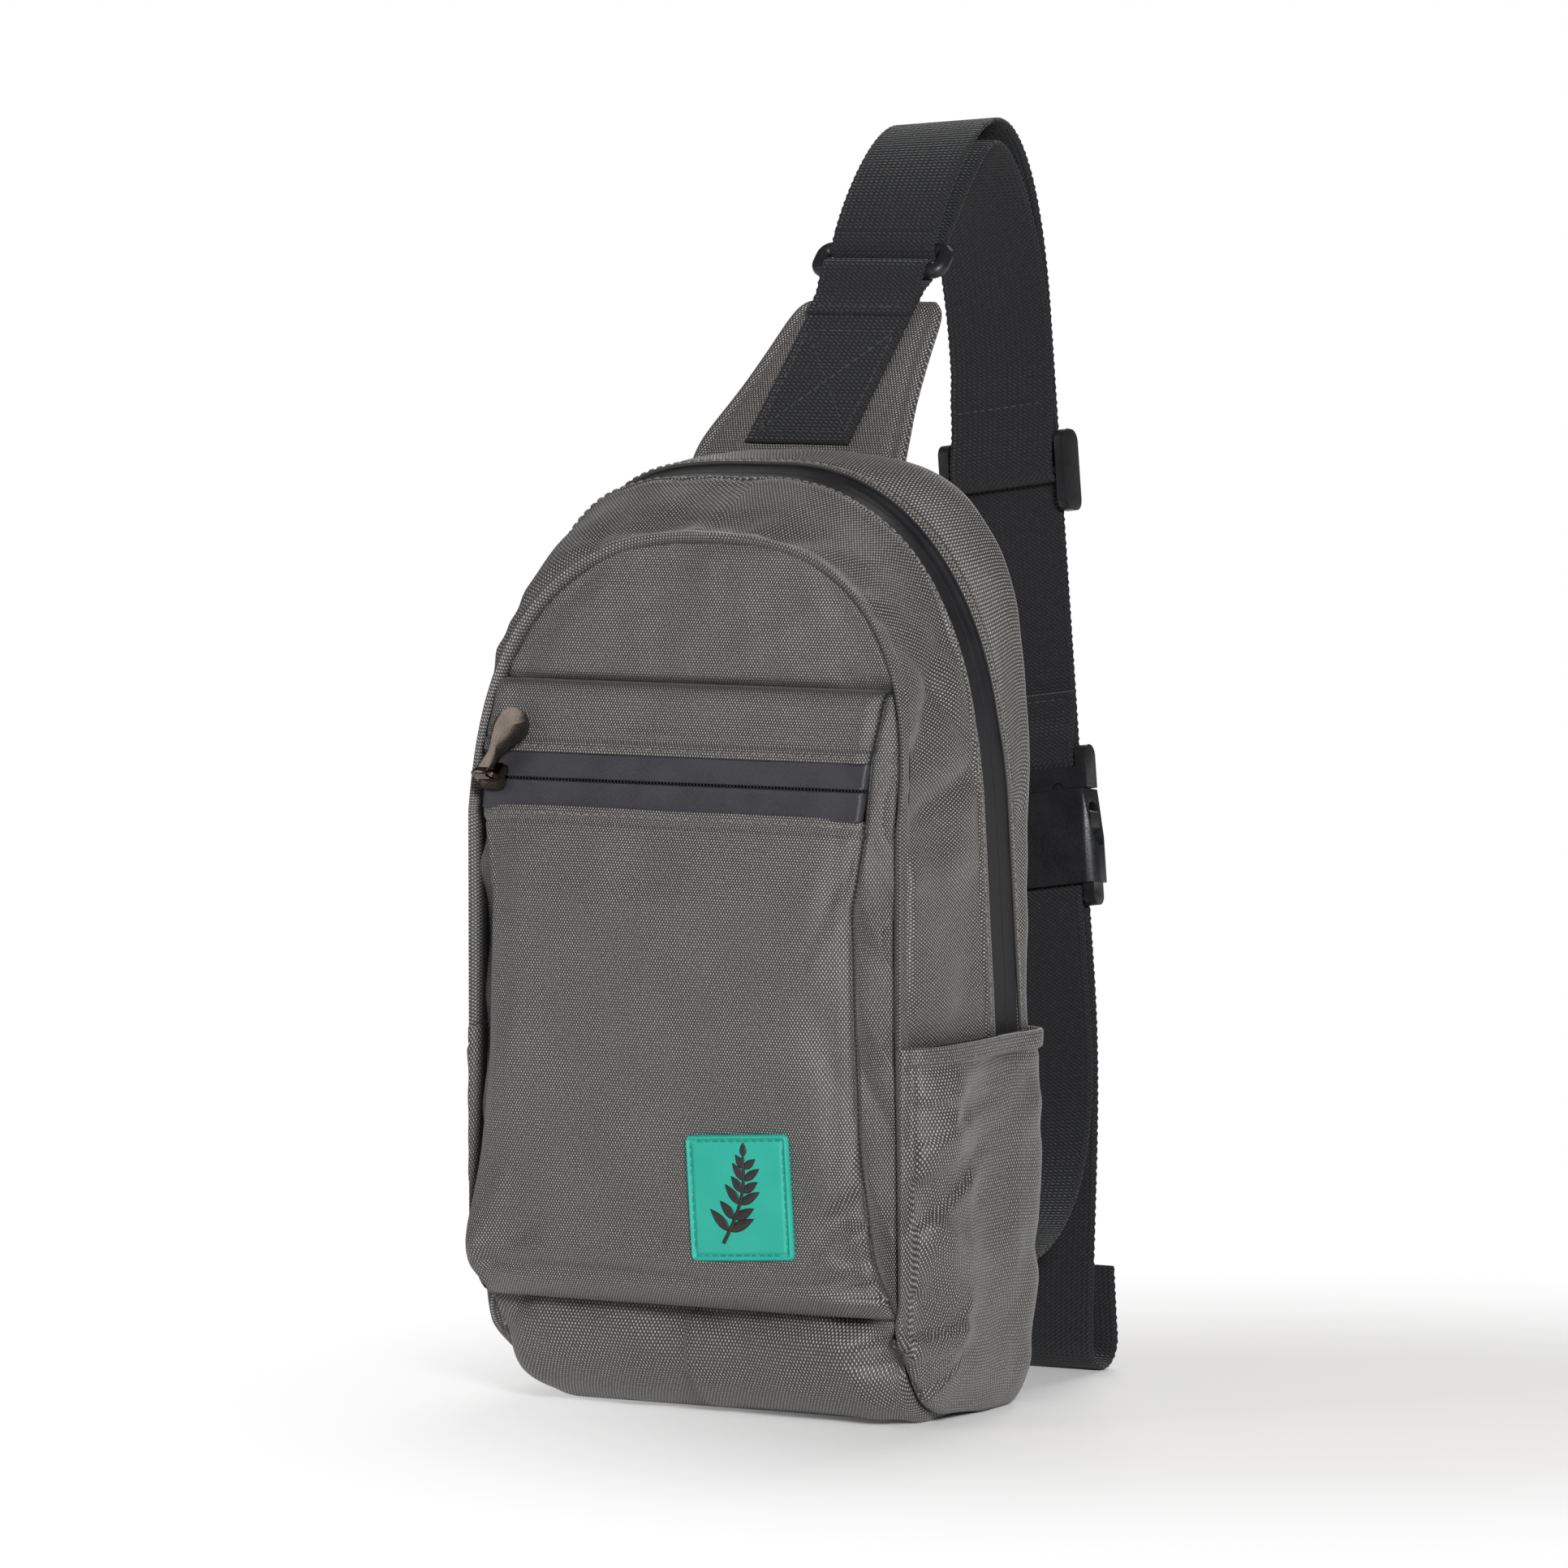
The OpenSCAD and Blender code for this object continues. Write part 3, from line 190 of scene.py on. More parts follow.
def station_y(i, z):
    zip_at, share = zip_y(z), table(EDGE_SHARE, np.minimum(i, EDGE_END))
    room = zip_at - ZIP_W / 2 - seam_y(z)
    y = last = seam_y(z) + np.minimum(EDGE_R * (1 - np.cos(edge_turn(i))), share * room)
    marks = [zip_at - ZIP_W / 2, zip_at - ZIP_GAP, zip_at + ZIP_GAP, zip_at + ZIP_W / 2, BACK_Y - BACK_ROLL + 0 * z]
    for k, mark in enumerate(marks, EDGE_END):
        y = np.where(i > k, last + (mark - last) * np.clip(i - k, 0, 1), y)
        last = mark
    return np.where(i > BACK_START, BACK_Y - BACK_ROLL + BACK_ROLL * np.sin(back_turn(i)), y)


def skin(i, j, grow=0.0):
    """Points of the bag's outer skin at real-valued stations and outline steps."""
    i, j, grow = np.broadcast_arrays(np.asarray(i, float), np.asarray(j, float), np.asarray(grow, float))
    left = (j < 0) | (j > TOP)
    step = np.where(j < 0, -j, np.where(j > TOP, 2 * TOP - j, j))
    back = BACK_DRAW * (1 - np.cos(back_turn(i)))
    low = EDGE_R * (1 - np.sin(edge_turn(i))) + back - grow
    w = BODY_W / 2 - (FRONT_DRAW * table(FRONT_SHARE, np.minimum(i, 4)) + back) + grow
    seam_r = np.where(left, LEFT_CORNER_R, FRONT_CORNER_R)
    r = seam_r + (np.where(left, CORNER_R, RIGHT_REAR_R) - seam_r) * np.minimum(i, EDGE_END) / EDGE_END + grow
    rise = FRONT_H + (BODY_H - FRONT_H) * table(CLIMB, i) + grow - SHOULDER_Z
    bend = 2 / (DOME_POWER + np.where(left, LEFT_BULGE * table(LEFT_SHARE, i), table(SQUARE_RIGHT, i)))
    corner = np.clip((step - 1) / CORNER_STEPS, 0, 1) * math.pi / 2
    dome = np.clip((step - SHOULDER) / (TOP - SHOULDER), 0, 1) * math.pi / 2
    x = np.where(step <= 1, (w - r) * step, np.where(step <= CORNER_TOP, w - r + r * np.sin(corner), w))
    z = np.where(step <= CORNER_TOP, low + r - r * np.cos(corner), 0)
    for start, z0, z1 in ((CORNER_TOP, low + r, SIDE_FULL_Z), (SIDE_FULL, SIDE_FULL_Z, ZIP_END_Z),
                          (HEM, ZIP_END_Z, SHOULDER_Z)):
        z = np.where((step > start) & (step <= start + 1), z0 + (z1 - z0) * (step - start), z)
    over = step > SHOULDER
    x = np.where(over, w * np.power(np.maximum(0, np.cos(dome)), bend), x)
    z = np.where(over, SHOULDER_Z + rise * np.power(np.sin(dome), bend), z)
    drawn = SLUMP * smooth((SLUMP_Z - z) / SLUMP_FADE) * (1 - smooth((i - 2) / 4)) * np.clip(x / 40, 0, 1)
    return np.stack([np.where(left, drawn - x, x), station_y(i, z), z], -1)


def front_half_w(z, r=FRONT_CORNER_R):
    u = np.clip((z - SHOULDER_Z) / (FRONT_H - SHOULDER_Z), 0, 1)
    turn_z = EDGE_R + r
    low = FRONT_HALF_W - r + np.sqrt(np.maximum(0, r ** 2 - np.maximum(0, turn_z - z) ** 2))
    return np.where(z < turn_z, low, FRONT_HALF_W * np.power(1 - np.power(u, DOME_POWER), 1 / DOME_POWER))


POCKET_RATE = (seam_y(POCKET_TOP) - FRONT_WALL - POCKET_FLAT_Y) / (POCKET_TOP - POCKET_BEND)
POCKET_LEAN = math.atan(POCKET_RATE)


def pocket_y(z):
    """The inner side of the pocket's face."""
    curl = np.sqrt(np.maximum(0, 1 - (np.maximum(0, POCKET_FULL - z) / POCKET_CURL) ** 2))
    low = FRONT_Y - FRONT_WALL - POCKET_GAP * curl
    return np.where(z > POCKET_BEND, POCKET_FLAT_Y + (z - POCKET_BEND) * POCKET_RATE, low)


def pocket_half_w(z):
    return front_half_w(z) - POCKET_MARGIN - (seam_y(z) - FRONT_WALL - pocket_y(z))


# Cloth that sags and folds

def waves(points, size, seed, count=14):
    """Smooth noise of about -1 to 1 over points, from waves in fixed random directions."""
    rng = np.random.default_rng(seed)
    total = 0
    for _ in range(count):
        way = rng.normal(size=3)
        way *= 2 * math.pi / (size * rng.uniform(0.7, 1.8)) / np.linalg.norm(way)
        total = total + np.sin(points @ way + rng.uniform(0, 2 * math.pi))
    return total / math.sqrt(count)


def fold(points, normals, a, b, width, depth):
    """A ridge, or a valley where the depth is negative, near the line from a to b, measured in the cloth."""
    a, b = np.array(a, float), np.array(b, float)
    along = b - a
    t = np.clip(((points - a) @ along) / (along @ along), -0.3, 1.3)
    off = points - a - t[..., None] * along
    high = np.sum(off * normals, -1)
    off = np.linalg.norm(off - high[..., None] * normals, axis=-1)
    ends = smooth((t + 0.3) / 0.5) * smooth((1.3 - t) / 0.5) * (np.abs(high) < 25)
    return depth * np.exp(0.3 - np.sqrt((off / width) ** 2 * 1.6 + 0.09)) * ends


def dent(points, apex, top, low, depth):
    """A wedge pressed into cloth: nothing at its apex, full depth at its mouth between two corners."""
    apex, top, low = (np.array(v, float) for v in (apex, top, low))
    a, b = (top + low) / 2 - apex, (top - low) / 2
    n = unit(np.cross(a, b))
    off = points - apex
    t = np.sum(np.cross(off, b) * n, -1) / np.sum(np.cross(a, b) * n)
    s = np.sum(np.cross(a, off) * n, -1) / np.sum(np.cross(a, b) * n)
    across = np.abs(s) / np.maximum(t, 0.05)
    return -depth * np.clip(t, 0, 1.3) * (1 - smooth((across - 0.75) / 0.5)) * (np.abs(off @ n) < 20)


def folds(points, rows):
    normals = grid_normals(points)
    return sum(fold(points, normals, *row) for row in rows)


def dents(points, rows):
    return sum(dent(points, *row) for row in rows)


def grid_normals(points, middle=BAG_MIDDLE):
    """Unit normals of a grid of points, pointing away from a middle."""
    n = unit(crossed(points))
    return n if faces_out(n, points, middle) else -n


def push(points, by, middle=BAG_MIDDLE):
    """A grid moved along its normals."""
    return points + grid_normals(points, middle) * by[..., None]


def even(function, low, high, count):
    """Values from low to high whose points lie evenly along a line."""
    fine = np.linspace(low, high, 1200)
    run = run_of(function(fine))
    return np.interp(np.linspace(0, run[-1], count), run, fine)


def outline_steps(low, high, pitch, station, sewn=0.0):
    """Outline steps whose points lie evenly along a station, closer together within a sewn margin of the ends."""
    fine = np.linspace(low, high, 1500)
    run = run_of(skin(station, fine))
    marks = np.linspace(sewn, run[-1] - sewn, int((run[-1] - 2 * sewn) / pitch) + 2)
    if sewn:
        close = np.arange(0, sewn, 0.5)
        marks = np.concatenate([close, marks, run[-1] - close[::-1]])
    return np.interp(marks, run, fine)


# Meshes

def link(name, data):
    made = bpy.data.objects.new(name, data)
    bpy.context.scene.collection.objects.link(made)
    return made


def thicken(piece, thick):
    shell = piece.modifiers.new("thickness", "SOLIDIFY")
    shell.thickness, shell.offset = thick * MM, -1


def add_object(name, mesh, material, body="bag", slot=None, replaces=()):
    piece = link(name, mesh)
    mesh.materials.append(material)
    mesh.shade_smooth()
    if body:
        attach(piece, body)
    if replaces:
        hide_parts(*replaces)
    return piece


def mesh_from(name, verts, faces, uvs=None, seam=None):
    mesh = bpy.data.meshes.new(name)
    mesh.from_pydata((np.asarray(verts, float) * MM).tolist(), [], [list(map(int, f)) for f in faces])
    if uvs is not None:
        corners = np.zeros(len(mesh.loops), np.int32)
        mesh.loops.foreach_get("vertex_index", corners)
        layer = mesh.uv_layers.new(name="UVMap")
        layer.data.foreach_set("uv", np.asarray(uvs, np.float32)[corners].ravel())
    # seam: painted shade per point, dark where a seam's groove lies in shadow; the cloth material reads it
    if seam is not None:
        mesh.attributes.new("seam", "FLOAT", "POINT").data.foreach_set("value", np.asarray(seam, np.float32).ravel())
    mesh.update()
    return mesh


def weave(u, v, scale=1.0):
    """Pairs of coordinates across and along a weave."""
    return np.stack(np.broadcast_arrays(u, v), -1) * scale


def grid_uv(points):
    """Millimetres run along and across a grid, for the weave."""
    u = run_along(points, 1)
    return weave(u - u[:, [points.shape[1] // 2]], run_along(points, 0))


def quads(rows, cols, wrap=False):
    k, m = grid(np.arange(rows - 1), np.arange(cols if wrap else cols - 1))
    nxt = (m + 1) % cols
    return np.stack([k * cols + m, k * cols + nxt, (k + 1) * cols + nxt, (k + 1) * cols + m], -1).reshape(-1, 4)


# seam: painted shade per point for the seams' grooves, passed on to the mesh
def panel(name, points, material, thick, uv=None, seam=None, **place):
    """A panel from a grid of points, facing away from the bag's middle, with a thickness behind it."""
    faces = quads(*points.shape[:2])
    if faces_out(crossed(points), points, BAG_MIDDLE):
        faces = faces[:, ::-1]
    uv = grid_uv(points) if uv is None else uv
    mesh = mesh_from(name, points.reshape(-1, 3), faces, uv.reshape(-1, 2), seam)
    thicken(add_object(name, mesh, material, **place), thick)


def tube(name, rings, material, uv, **place):
    """A closed skin over rings of points."""
    rows, cols = rings.shape[:2]
    faces = [list(f) for f in quads(rows, cols, wrap=True)]
    faces += [list(range(cols))[::-1], [(rows - 1) * cols + m for m in range(cols)]]
    return add_object(name, mesh_from(name, rings.reshape(-1, 3), faces, uv.reshape(-1, 2)), material, **place)


def resample(points, pitch, rounds=3):
    """A line of points at an even pitch, with its small kinks smoothed out."""
    points = np.asarray(points, float)
    run = run_of(points[:, :3])
    line = read_at(np.linspace(0, run[-1], int(run[-1] / pitch) + 2), run, points)
    for _ in range(rounds):
        line[1:-1] = (line[:-2] + 2 * line[1:-1] + line[2:]) / 4
    return line


def web_section():
    """The webbing's outline: offsets across and up, with round edges."""
    half = WEB_W / 2 - WEB_T / 2
    x = np.linspace(-half, half, 12)
    turn = np.radians([45, 0, -45])
    right = np.stack([half + WEB_T / 2 * np.cos(turn), WEB_T / 2 * np.sin(turn)], -1)
    return np.concatenate([weave(x, WEB_T / 2), right, weave(x[::-1], -WEB_T / 2), right[::-1] * [-1, 1]])


def up_from(path, axes):
    """Directions off a band, from its path and its width axes."""
    return unit(np.cross(unit(np.gradient(path, axis=0)), axes))


EDGE_SCALLOP, SCALLOP_PITCH = 0.013, 2.6
UV_AWAY = 60  # keeps the weave's coordinates above zero


def webbing(name, line, pitch=1.0, **place):
    """Woven strap along a line of points, each with its width axis."""
    line = resample(line, pitch)
    path, axes = line[:, :3], unit(line[:, 3:])
    up, shape, run = up_from(path, axes), web_section(), run_of(path)
    scallop = 1 + EDGE_SCALLOP * np.sin(run * 2 * math.pi / SCALLOP_PITCH)
    rings = (path[:, None] + axes[:, None] * shape[None, :, :1] * scallop[:, None, None]
             + up[:, None] * shape[None, :, 1:])
    return tube(name, rings, WEBBING, weave(shape[:, 0] + UV_AWAY, run[:, None]), slot="webbing", **place)


# Stitches: length, gap, width and height
HEM_STITCH, PATCH_STITCH, WING_STITCH = (2.4, 0.8, 0.75, 0.45), (2.2, 0.6, 0.6, 0.4), (2.4, 0.7, 0.6, 0.4)
LAP_STITCH, RETURN_STITCH = (2.2, 0.7, 0.55, 0.35), (2.2, 0.7, 0.7, 0.45)
STITCH_LIFT = 0.05


class Thread:
    """Stitches gathered into one mesh."""

    def __init__(self):
        self.verts, self.faces = [], []

    def line(self, points, normals, length=2.6, gap=0.9, width=0.5, height=0.34):
        normals = np.broadcast_to(normals, np.shape(points))
        line = resample(np.concatenate([points, normals], -1), 0.3, 1)
        run = run_of(line[:, :3])
        for k in range(int(run[-1] / (length + gap))):
            at = k * (length + gap) + gap / 2 + np.array([0, 0.15, 0.5, 0.85, 1]) * length
            row = read_at(at, run, line)
            self.stitch(row[:, :3], row[:, 3:], width, height, STITCH_LIFT)

    def rows(self, ends, count, place, normal, *size):
        """Lines of stitches between pairs of ends, whose offsets a function turns into points."""
        for first, last in ends:
            self.line(place(*np.linspace(first, last, count).T), normal, *size)

    def stitch(self, points, normals, width, height, lift):
        side = unit(np.cross(np.gradient(points, axis=0), normals))
        size = np.array([0.25, 0.9, 1, 0.9, 0.25])[:, None]
        base = points + normals * lift
        corners = [base - side * width / 2 * size, base + normals * height * size,
                   base + side * width / 2 * size, base - normals * height * 0.5]
        first = len(self.verts)
        ring = np.stack(corners, 1).reshape(-1, 3)
        self.verts.extend(ring)
        self.faces.extend((quads(5, 4, wrap=True) + first).tolist())
        self.faces += [[first + 3, first + 2, first + 1, first], [first + 16 + m for m in range(4)]]

    def make(self, name, material, **place):
        return add_object(name, mesh_from(name, self.verts, self.faces), material, **place)


# Materials

def linear(r, g, b):
    """A colour as read on a screen, as Blender takes it."""
    return tuple(((c / 255 + 0.055) / 1.055) ** 2.4 if c > 10 else c / 255 / 12.92 for c in (r, g, b)) + (1,)


NOISE_RANGE = (0.3, 0.7)  # most of a noise texture's values lie in it


class Nodes:
    """Short hands for building a material's nodes."""

    def __init__(self, name, roughness, specular=0.4, metallic=0.0):
        self.material = bpy.data.materials.new(name)
        self.material.use_nodes = True
        self.tree = self.material.node_tree
        self.shader = self.tree.nodes["Principled BSDF"]
        self.set("Roughness", roughness)
        self.set("Specular IOR Level", specular)
        self.set("Metallic", metallic)

    def set(self, socket, value):
        self.shader.inputs[socket].default_value = value

    def node(self, kind, inputs=(), **settings):
        made = self.tree.nodes.new(kind)
        for key, value in settings.items():
            setattr(made, key, value)
        for key, value in dict(inputs).items():
            if isinstance(value, bpy.types.NodeSocket):
                self.tree.links.new(value, made.inputs[key])
            else:
                made.inputs[key].default_value = value
        return made

    def math(self, how, a, b=0.0):
        return self.node("ShaderNodeMath", {0: a, 1: b}, operation=how).outputs[0]

    def times(self, a, b):
        return self.math("MULTIPLY", a, b)

    def uv(self):
        out = self.node("ShaderNodeUVMap", uv_map="UVMap").outputs[0]
        parts = self.node("ShaderNodeSeparateXYZ", {0: out})
        return out, parts.outputs[0], parts.outputs[1]

    def place(self):
        """Millimetres in the object's own space."""
        out = self.node("ShaderNodeTexCoord").outputs["Object"]
        return self.node("ShaderNodeVectorMath", {0: out, 1: (1000, 1000, 1000)}, operation="MULTIPLY").outputs[0]

    def noise(self, where, scale, detail):
        return self.node("ShaderNodeTexNoise", {"Vector": where, "Scale": scale, "Detail": detail}).outputs[0]

    def ramp(self, value, low, high, to_low=0.0, to_high=1.0):
        return self.node("ShaderNodeMapRange", {0: value, 1: low, 2: high, 3: to_low, 4: to_high},
                         interpolation_type="SMOOTHSTEP").outputs[0]

    def mix(self, factor, a, b):
        """Two colours mixed: sockets, or screen colours."""
        a, b = (linear(*c) if isinstance(c, tuple) else c for c in (a, b))
        return self.node("ShaderNodeMix", {0: factor, 6: a, 7: b}, data_type="RGBA").outputs[2]

    def link(self, value, socket):
        self.tree.links.new(value, self.shader.inputs[socket])

    def bump(self, height, depth):
        """A bump whose full height is a depth in millimetres."""
        made = self.node("ShaderNodeBump", {"Height": height, "Strength": 1.0, "Distance": depth * MM})
        self.link(made.outputs[0], "Normal")

    def waves(self, value, pitch):
        return self.math("SINE", self.times(value, 2 * math.pi / pitch))


def cloth_material(name, dark, light):
    """Coarse two-tone weave: rows of pale dots on a dark ground, painted near black where shadow falls in the seams'
    grooves.
    """
    m = Nodes(name, 0.52, 0.7)
    uv, u, v = m.uv()
    dots = m.times(m.waves(u, 0.97), m.waves(v, 1.66))
    grain = m.noise(uv, 1.1, 1.0)
    patchy = m.noise(m.place(), 0.035, 3.0)
    dot = m.ramp(dots, 0.12, 0.85)
    pale = m.times(dot, m.ramp(grain, 0.25, 0.7, 0.45, 1.0))
    pale = m.times(pale, m.ramp(patchy, *NOISE_RANGE, 0.86, 1.0))
    # Painted shade: the 'seam' attribute darkens the cloth to near black in its seams' grooves, where shadow falls
    seam = m.node("ShaderNodeAttribute", attribute_name="seam").outputs["Fac"]
    m.link(m.mix(seam, m.mix(pale, dark, light), (9, 9, 9)), "Base Color")
    m.bump(m.math("ADD", m.times(dots, 0.5), m.times(grain, 0.4)), 0.16)
    m.set("Sheen Weight", 0.12)
    m.set("Sheen Roughness", 0.5)
    return m.material


def webbing_material():
    """Close black ribs across the strap with fine paler dashes."""
    m = Nodes("webbing", 0.7, 0.3)
    uv, u, v = m.uv()
    ribs = m.waves(v, 1.3)
    ends = m.waves(u, 1.9)
    dash = m.ramp(m.times(ribs, ends), 0.25, 0.9)
    wear = m.noise(uv, 0.5, 3.0)
    factor = m.times(dash, m.ramp(wear, 0.3, 0.75, 0.3, 1.0))
    m.link(m.mix(factor, (24, 24, 26), (64, 64, 69)), "Base Color")
    m.bump(m.math("ADD", m.times(ribs, 0.5), m.times(ends, 0.35)), 0.35)
    m.set("Sheen Weight", 0.1)
    return m.material


GLOSS_SPREAD = 0.08


def plain_material(name, colour, other, roughness, depth, scale, specular=0.4, metallic=0.0):
    """A smooth surface with fine grain and a little change in its colour and gloss."""
    m = Nodes(name, roughness, specular, metallic)
    where = m.place()
    fine, broad = m.noise(where, scale, 2.0), m.noise(where, scale / 18, 3.0)
    m.link(m.mix(m.ramp(broad, *NOISE_RANGE), colour, other), "Base Color")
    m.link(m.ramp(fine, *NOISE_RANGE, roughness - GLOSS_SPREAD, roughness + GLOSS_SPREAD), "Roughness")
    m.bump(fine, depth)
    return m.material


def tape_material(name, dark, light, gloss):
    """Coated zip tape with a faint twill under its coat."""
    m = Nodes(name, gloss, 0.35)
    _, u, v = m.uv()
    twill = m.waves(m.math("ADD", u, v), 0.8)
    cloud = m.noise(m.place(), 0.08, 3.0)
    m.link(m.mix(m.ramp(cloud, *NOISE_RANGE), dark, light), "Base Color")
    m.link(m.ramp(cloud, *NOISE_RANGE, gloss - 0.06, gloss + 0.08), "Roughness")
    m.bump(twill, 0.03)
    return m.material


def mesh_material():
    """Open spacer mesh of the back panel: staggered round holes."""
    m = Nodes("back_mesh", 0.85, 0.2)
    uv, u, v = m.uv()
    holes = m.times(m.waves(u, 4.2), m.waves(v, 4.2))
    hole = m.ramp(holes, 0.15, 0.6)
    fuzz = m.noise(uv, 2.2, 2.0)
    m.link(m.mix(hole, m.mix(fuzz, (88, 86, 85), (116, 113, 110)), (24, 24, 25)), "Base Color")
    m.bump(m.math("SUBTRACT", m.times(fuzz, 0.2), hole), 0.7)
    return m.material


CLOTH = cloth_material("cloth", (42, 40, 39), (192, 185, 181))
WEBBING = webbing_material()
TAPE = tape_material("zip_tape", (55, 54, 59), (61, 60, 65), 0.36)
TAPE_DARK = tape_material("main_zip_tape", (27, 27, 29), (36, 36, 38), 0.55)
MESH = mesh_material()
COIL = plain_material("zip_coil", (22, 22, 24), (32, 32, 34), 0.4, 0.02, 3.0)
PLASTIC = plain_material("plastic", (24, 24, 26), (33, 33, 35), 0.42, 0.05, 1.6)
METAL = plain_material("metal", (92, 84, 79), (106, 97, 91), 0.18, 0.005, 2.5, 0.5, 1.0)
RUBBER = plain_material("rubber", (40, 166, 147), (46, 172, 153), 0.5, 0.03, 1.2)
RUBBER_DARK = plain_material("rubber_dark", (38, 34, 34), (48, 43, 42), 0.5, 0.03, 1.2)
FOAM = plain_material("foam", (56, 56, 58), (66, 66, 68), 0.9, 0.3, 1.0, 0.2)
BOARD = plain_material("board", (40, 40, 42), (52, 52, 54), 0.6, 0.1, 0.6)
THREAD = plain_material("thread", (104, 101, 96), (130, 126, 120), 0.75, 0.05, 6.0, 0.3)
THREAD_PALE = plain_material("thread_pale", (58, 58, 60), (74, 74, 76), 0.75, 0.05, 6.0, 0.3)
THREAD_TEAL = plain_material("thread_teal", (30, 140, 124), (44, 164, 146), 0.7, 0.05, 6.0, 0.3)


# Body of the bag

ROLL = 0.42  # stations over which the cloth rolls over at the front seam
# Outline steps of the seams between boot and sides
CORNER_SEAM, LEFT_SEAM = (1 + CORNER_STEPS * angle / 90 for angle in (52, 80))
SEAM_DEPTH, SEAM_LIP = 2.6, 2.4
ROLL_PUFF, ROLL_IN, ROLL_BACK = 3.2, 4.6, 2.6  # how far the roll puffs forward, and its edge dives in and back
ROLL_MIDDLE = np.array([0, 0, 150.0])
ROLL_HIDDEN = 3.2  # how much of the rolled seam's cloth lies inside it
FRONT_HEM, REAR_HEM = 3.74, 7.2  # stations of the hems beside the main zip
SIDE_WEAVE = 0.82  # the side cloths have a slightly coarser weave


def seam_step(i, first):
    """Outline step of the boot's side seams, which run lower towards the rear."""
    return 1 + (first - 1) * (1 - 0.7 * smooth(i / 6))


def boot_step(i, j):
    """An outline step up to the seam's first height, moved with the seam."""
    first = np.where(j > 0, CORNER_SEAM, LEFT_SEAM)
    beyond = np.maximum(np.abs(j) - 1, 0) * (seam_step(i, first) - 1) / (first - 1)
    return np.sign(j) * (np.minimum(np.abs(j), 1) + beyond)


def side_step(i, j, first):
    """An outline step above the seam's first height, moved with the seam."""
    below = np.maximum(CORNER_TOP - j, 0) * (CORNER_TOP - seam_step(i, first)) / (CORNER_TOP - first)
    return np.where(j < CORNER_TOP, CORNER_TOP - below, j)


def dive(distance, depth=SEAM_DEPTH, lip=SEAM_LIP, puff=0.7):
    """Height of cloth near a sewn edge: deep in the seam, rolled over its lip, with a low puff beside it."""
    t = np.maximum(distance, 0) / lip
    fall = 1 - np.sqrt(np.clip(t * (2 - t), 0, 1))
    return puff * bell(t - 1.9, 1.1) - depth * np.where(t < 1, fall, 0)


def painted_seam_shade(*distances, wide=0.9):
    """Painted shade near the cloth's sewn edges: how dark their grooves are painted, standing in for the shadow that
    falls in them.
    """
    return bell(np.minimum.reduce(distances), wide)


def seam_roll(points, i):
    """The cloth puffs forward over the front seam and dives into its crease."""
    t = i / ROLL
    ahead = ROLL_PUFF * np.sin(math.pi * np.clip(t, 0, 1)) ** 0.7 * (t < 1)
    out = unit((points - ROLL_MIDDLE) * [1, 0, 1])
    moved = points - out * (ROLL_IN * (1 - smooth(t / 0.5)))[..., None]
    moved[..., 1] += ROLL_BACK * (1 - smooth(t / 0.35)) - ahead
    return moved


# Rows of folds: two ends, width and depth. Heights here are 1.5 times what was meant.
SIDE_FOLDS = [
    ((78, -36, 264.0), (81, -8, 219.0), 4.5, -2.4), ((79, -28, 279.0), (81, -6, 237.0), 4.5, 2.0),
    ((80, -36, 210.0), (81, -6, 252.0), 5, -2.1), ((79, -38, 192.0), (81, 4, 207.0), 4.5, -2.4),
    ((66, -38, 360.0), (76, -14, 330.0), 3.5, -2.7), ((60, -36, 378.0), (72, -12, 351.0), 4, 2.1),
    ((74, -38, 324.0), (80, -12, 300.0), 4, -2.4), ((72, -38, 342.0), (79, -12, 315.0), 4, 1.7),
    ((50, -34, 393.0), (62, -10, 378.0), 4, -2.1), ((36, -30, 405.0), (46, -6, 414.0), 5, 1.7),
    ((14, -30, 411.0), (24, -4, 426.0), 6, -1.8), ((-40, -30, 408.0), (-30, -4, 426.0), 6, -2.0),
    ((-8, -28, 414.0), (0, -6, 432.0), 7, 1.5), ((-60, -32, 384.0), (-52, -8, 402.0), 5, 1.5),
    ((-78, -34, 267.0), (-80, -8, 225.0), 5, -2.2), ((-80, -30, 210.0), (-80, 2, 192.0), 4.5, -2.0),
]


def front_gusset():
    """From the rolled front seam to the hem beside the main zip."""
    i, j = grid(stations([0, ROLL, 1.2, EDGE_END, FRONT_HEM, 3.86, 3.92], [14, 10, 16, 7, 4, 2]),
                outline_steps(HEM, LEFT_HEM, 1.9, 2.0))
    p = seam_roll(skin(i, j), i)
    away = smooth((i - 0.3) / 0.6) * smooth((4 - i) / 0.5)
    pucker = smooth((i - 0.2) / 0.3) * smooth((2.2 - i) / 1.4)
    by = away * (1.0 * waves(p, 44, 3) + 0.45 * waves(p, 18, 4)) + folds(p, SIDE_FOLDS) * away
    by = by + pucker * 0.5 * waves(p * [1, 0.35, 1], 11, 5)
    hem = 0.4 * smooth((i - FRONT_HEM) / 0.04) - 0.6 * bell(i - 3.72, 0.03)
    return push(p, by + hem)


def rear_gusset():
    """From the hem behind the main zip to the back."""
    i, j = grid(stations([7, 7.08, 7.22, BACK_START, BACK_STATION], [3, 5, 9, 9]),
                outline_steps(HEM, LEFT_HEM, 1.9, 8.0))
    p = skin(i, j)
    away = smooth((i - REAR_HEM) / 0.4) * smooth((BACK_STATION - i) / 0.6)
    hem = 0.45 * (i < 7.17) - 0.6 * bell(i - REAR_HEM, 0.03)
    return push(p, away * (0.45 * waves(p, 46, 8) + 0.15 * waves(p, 16, 9)) + hem)


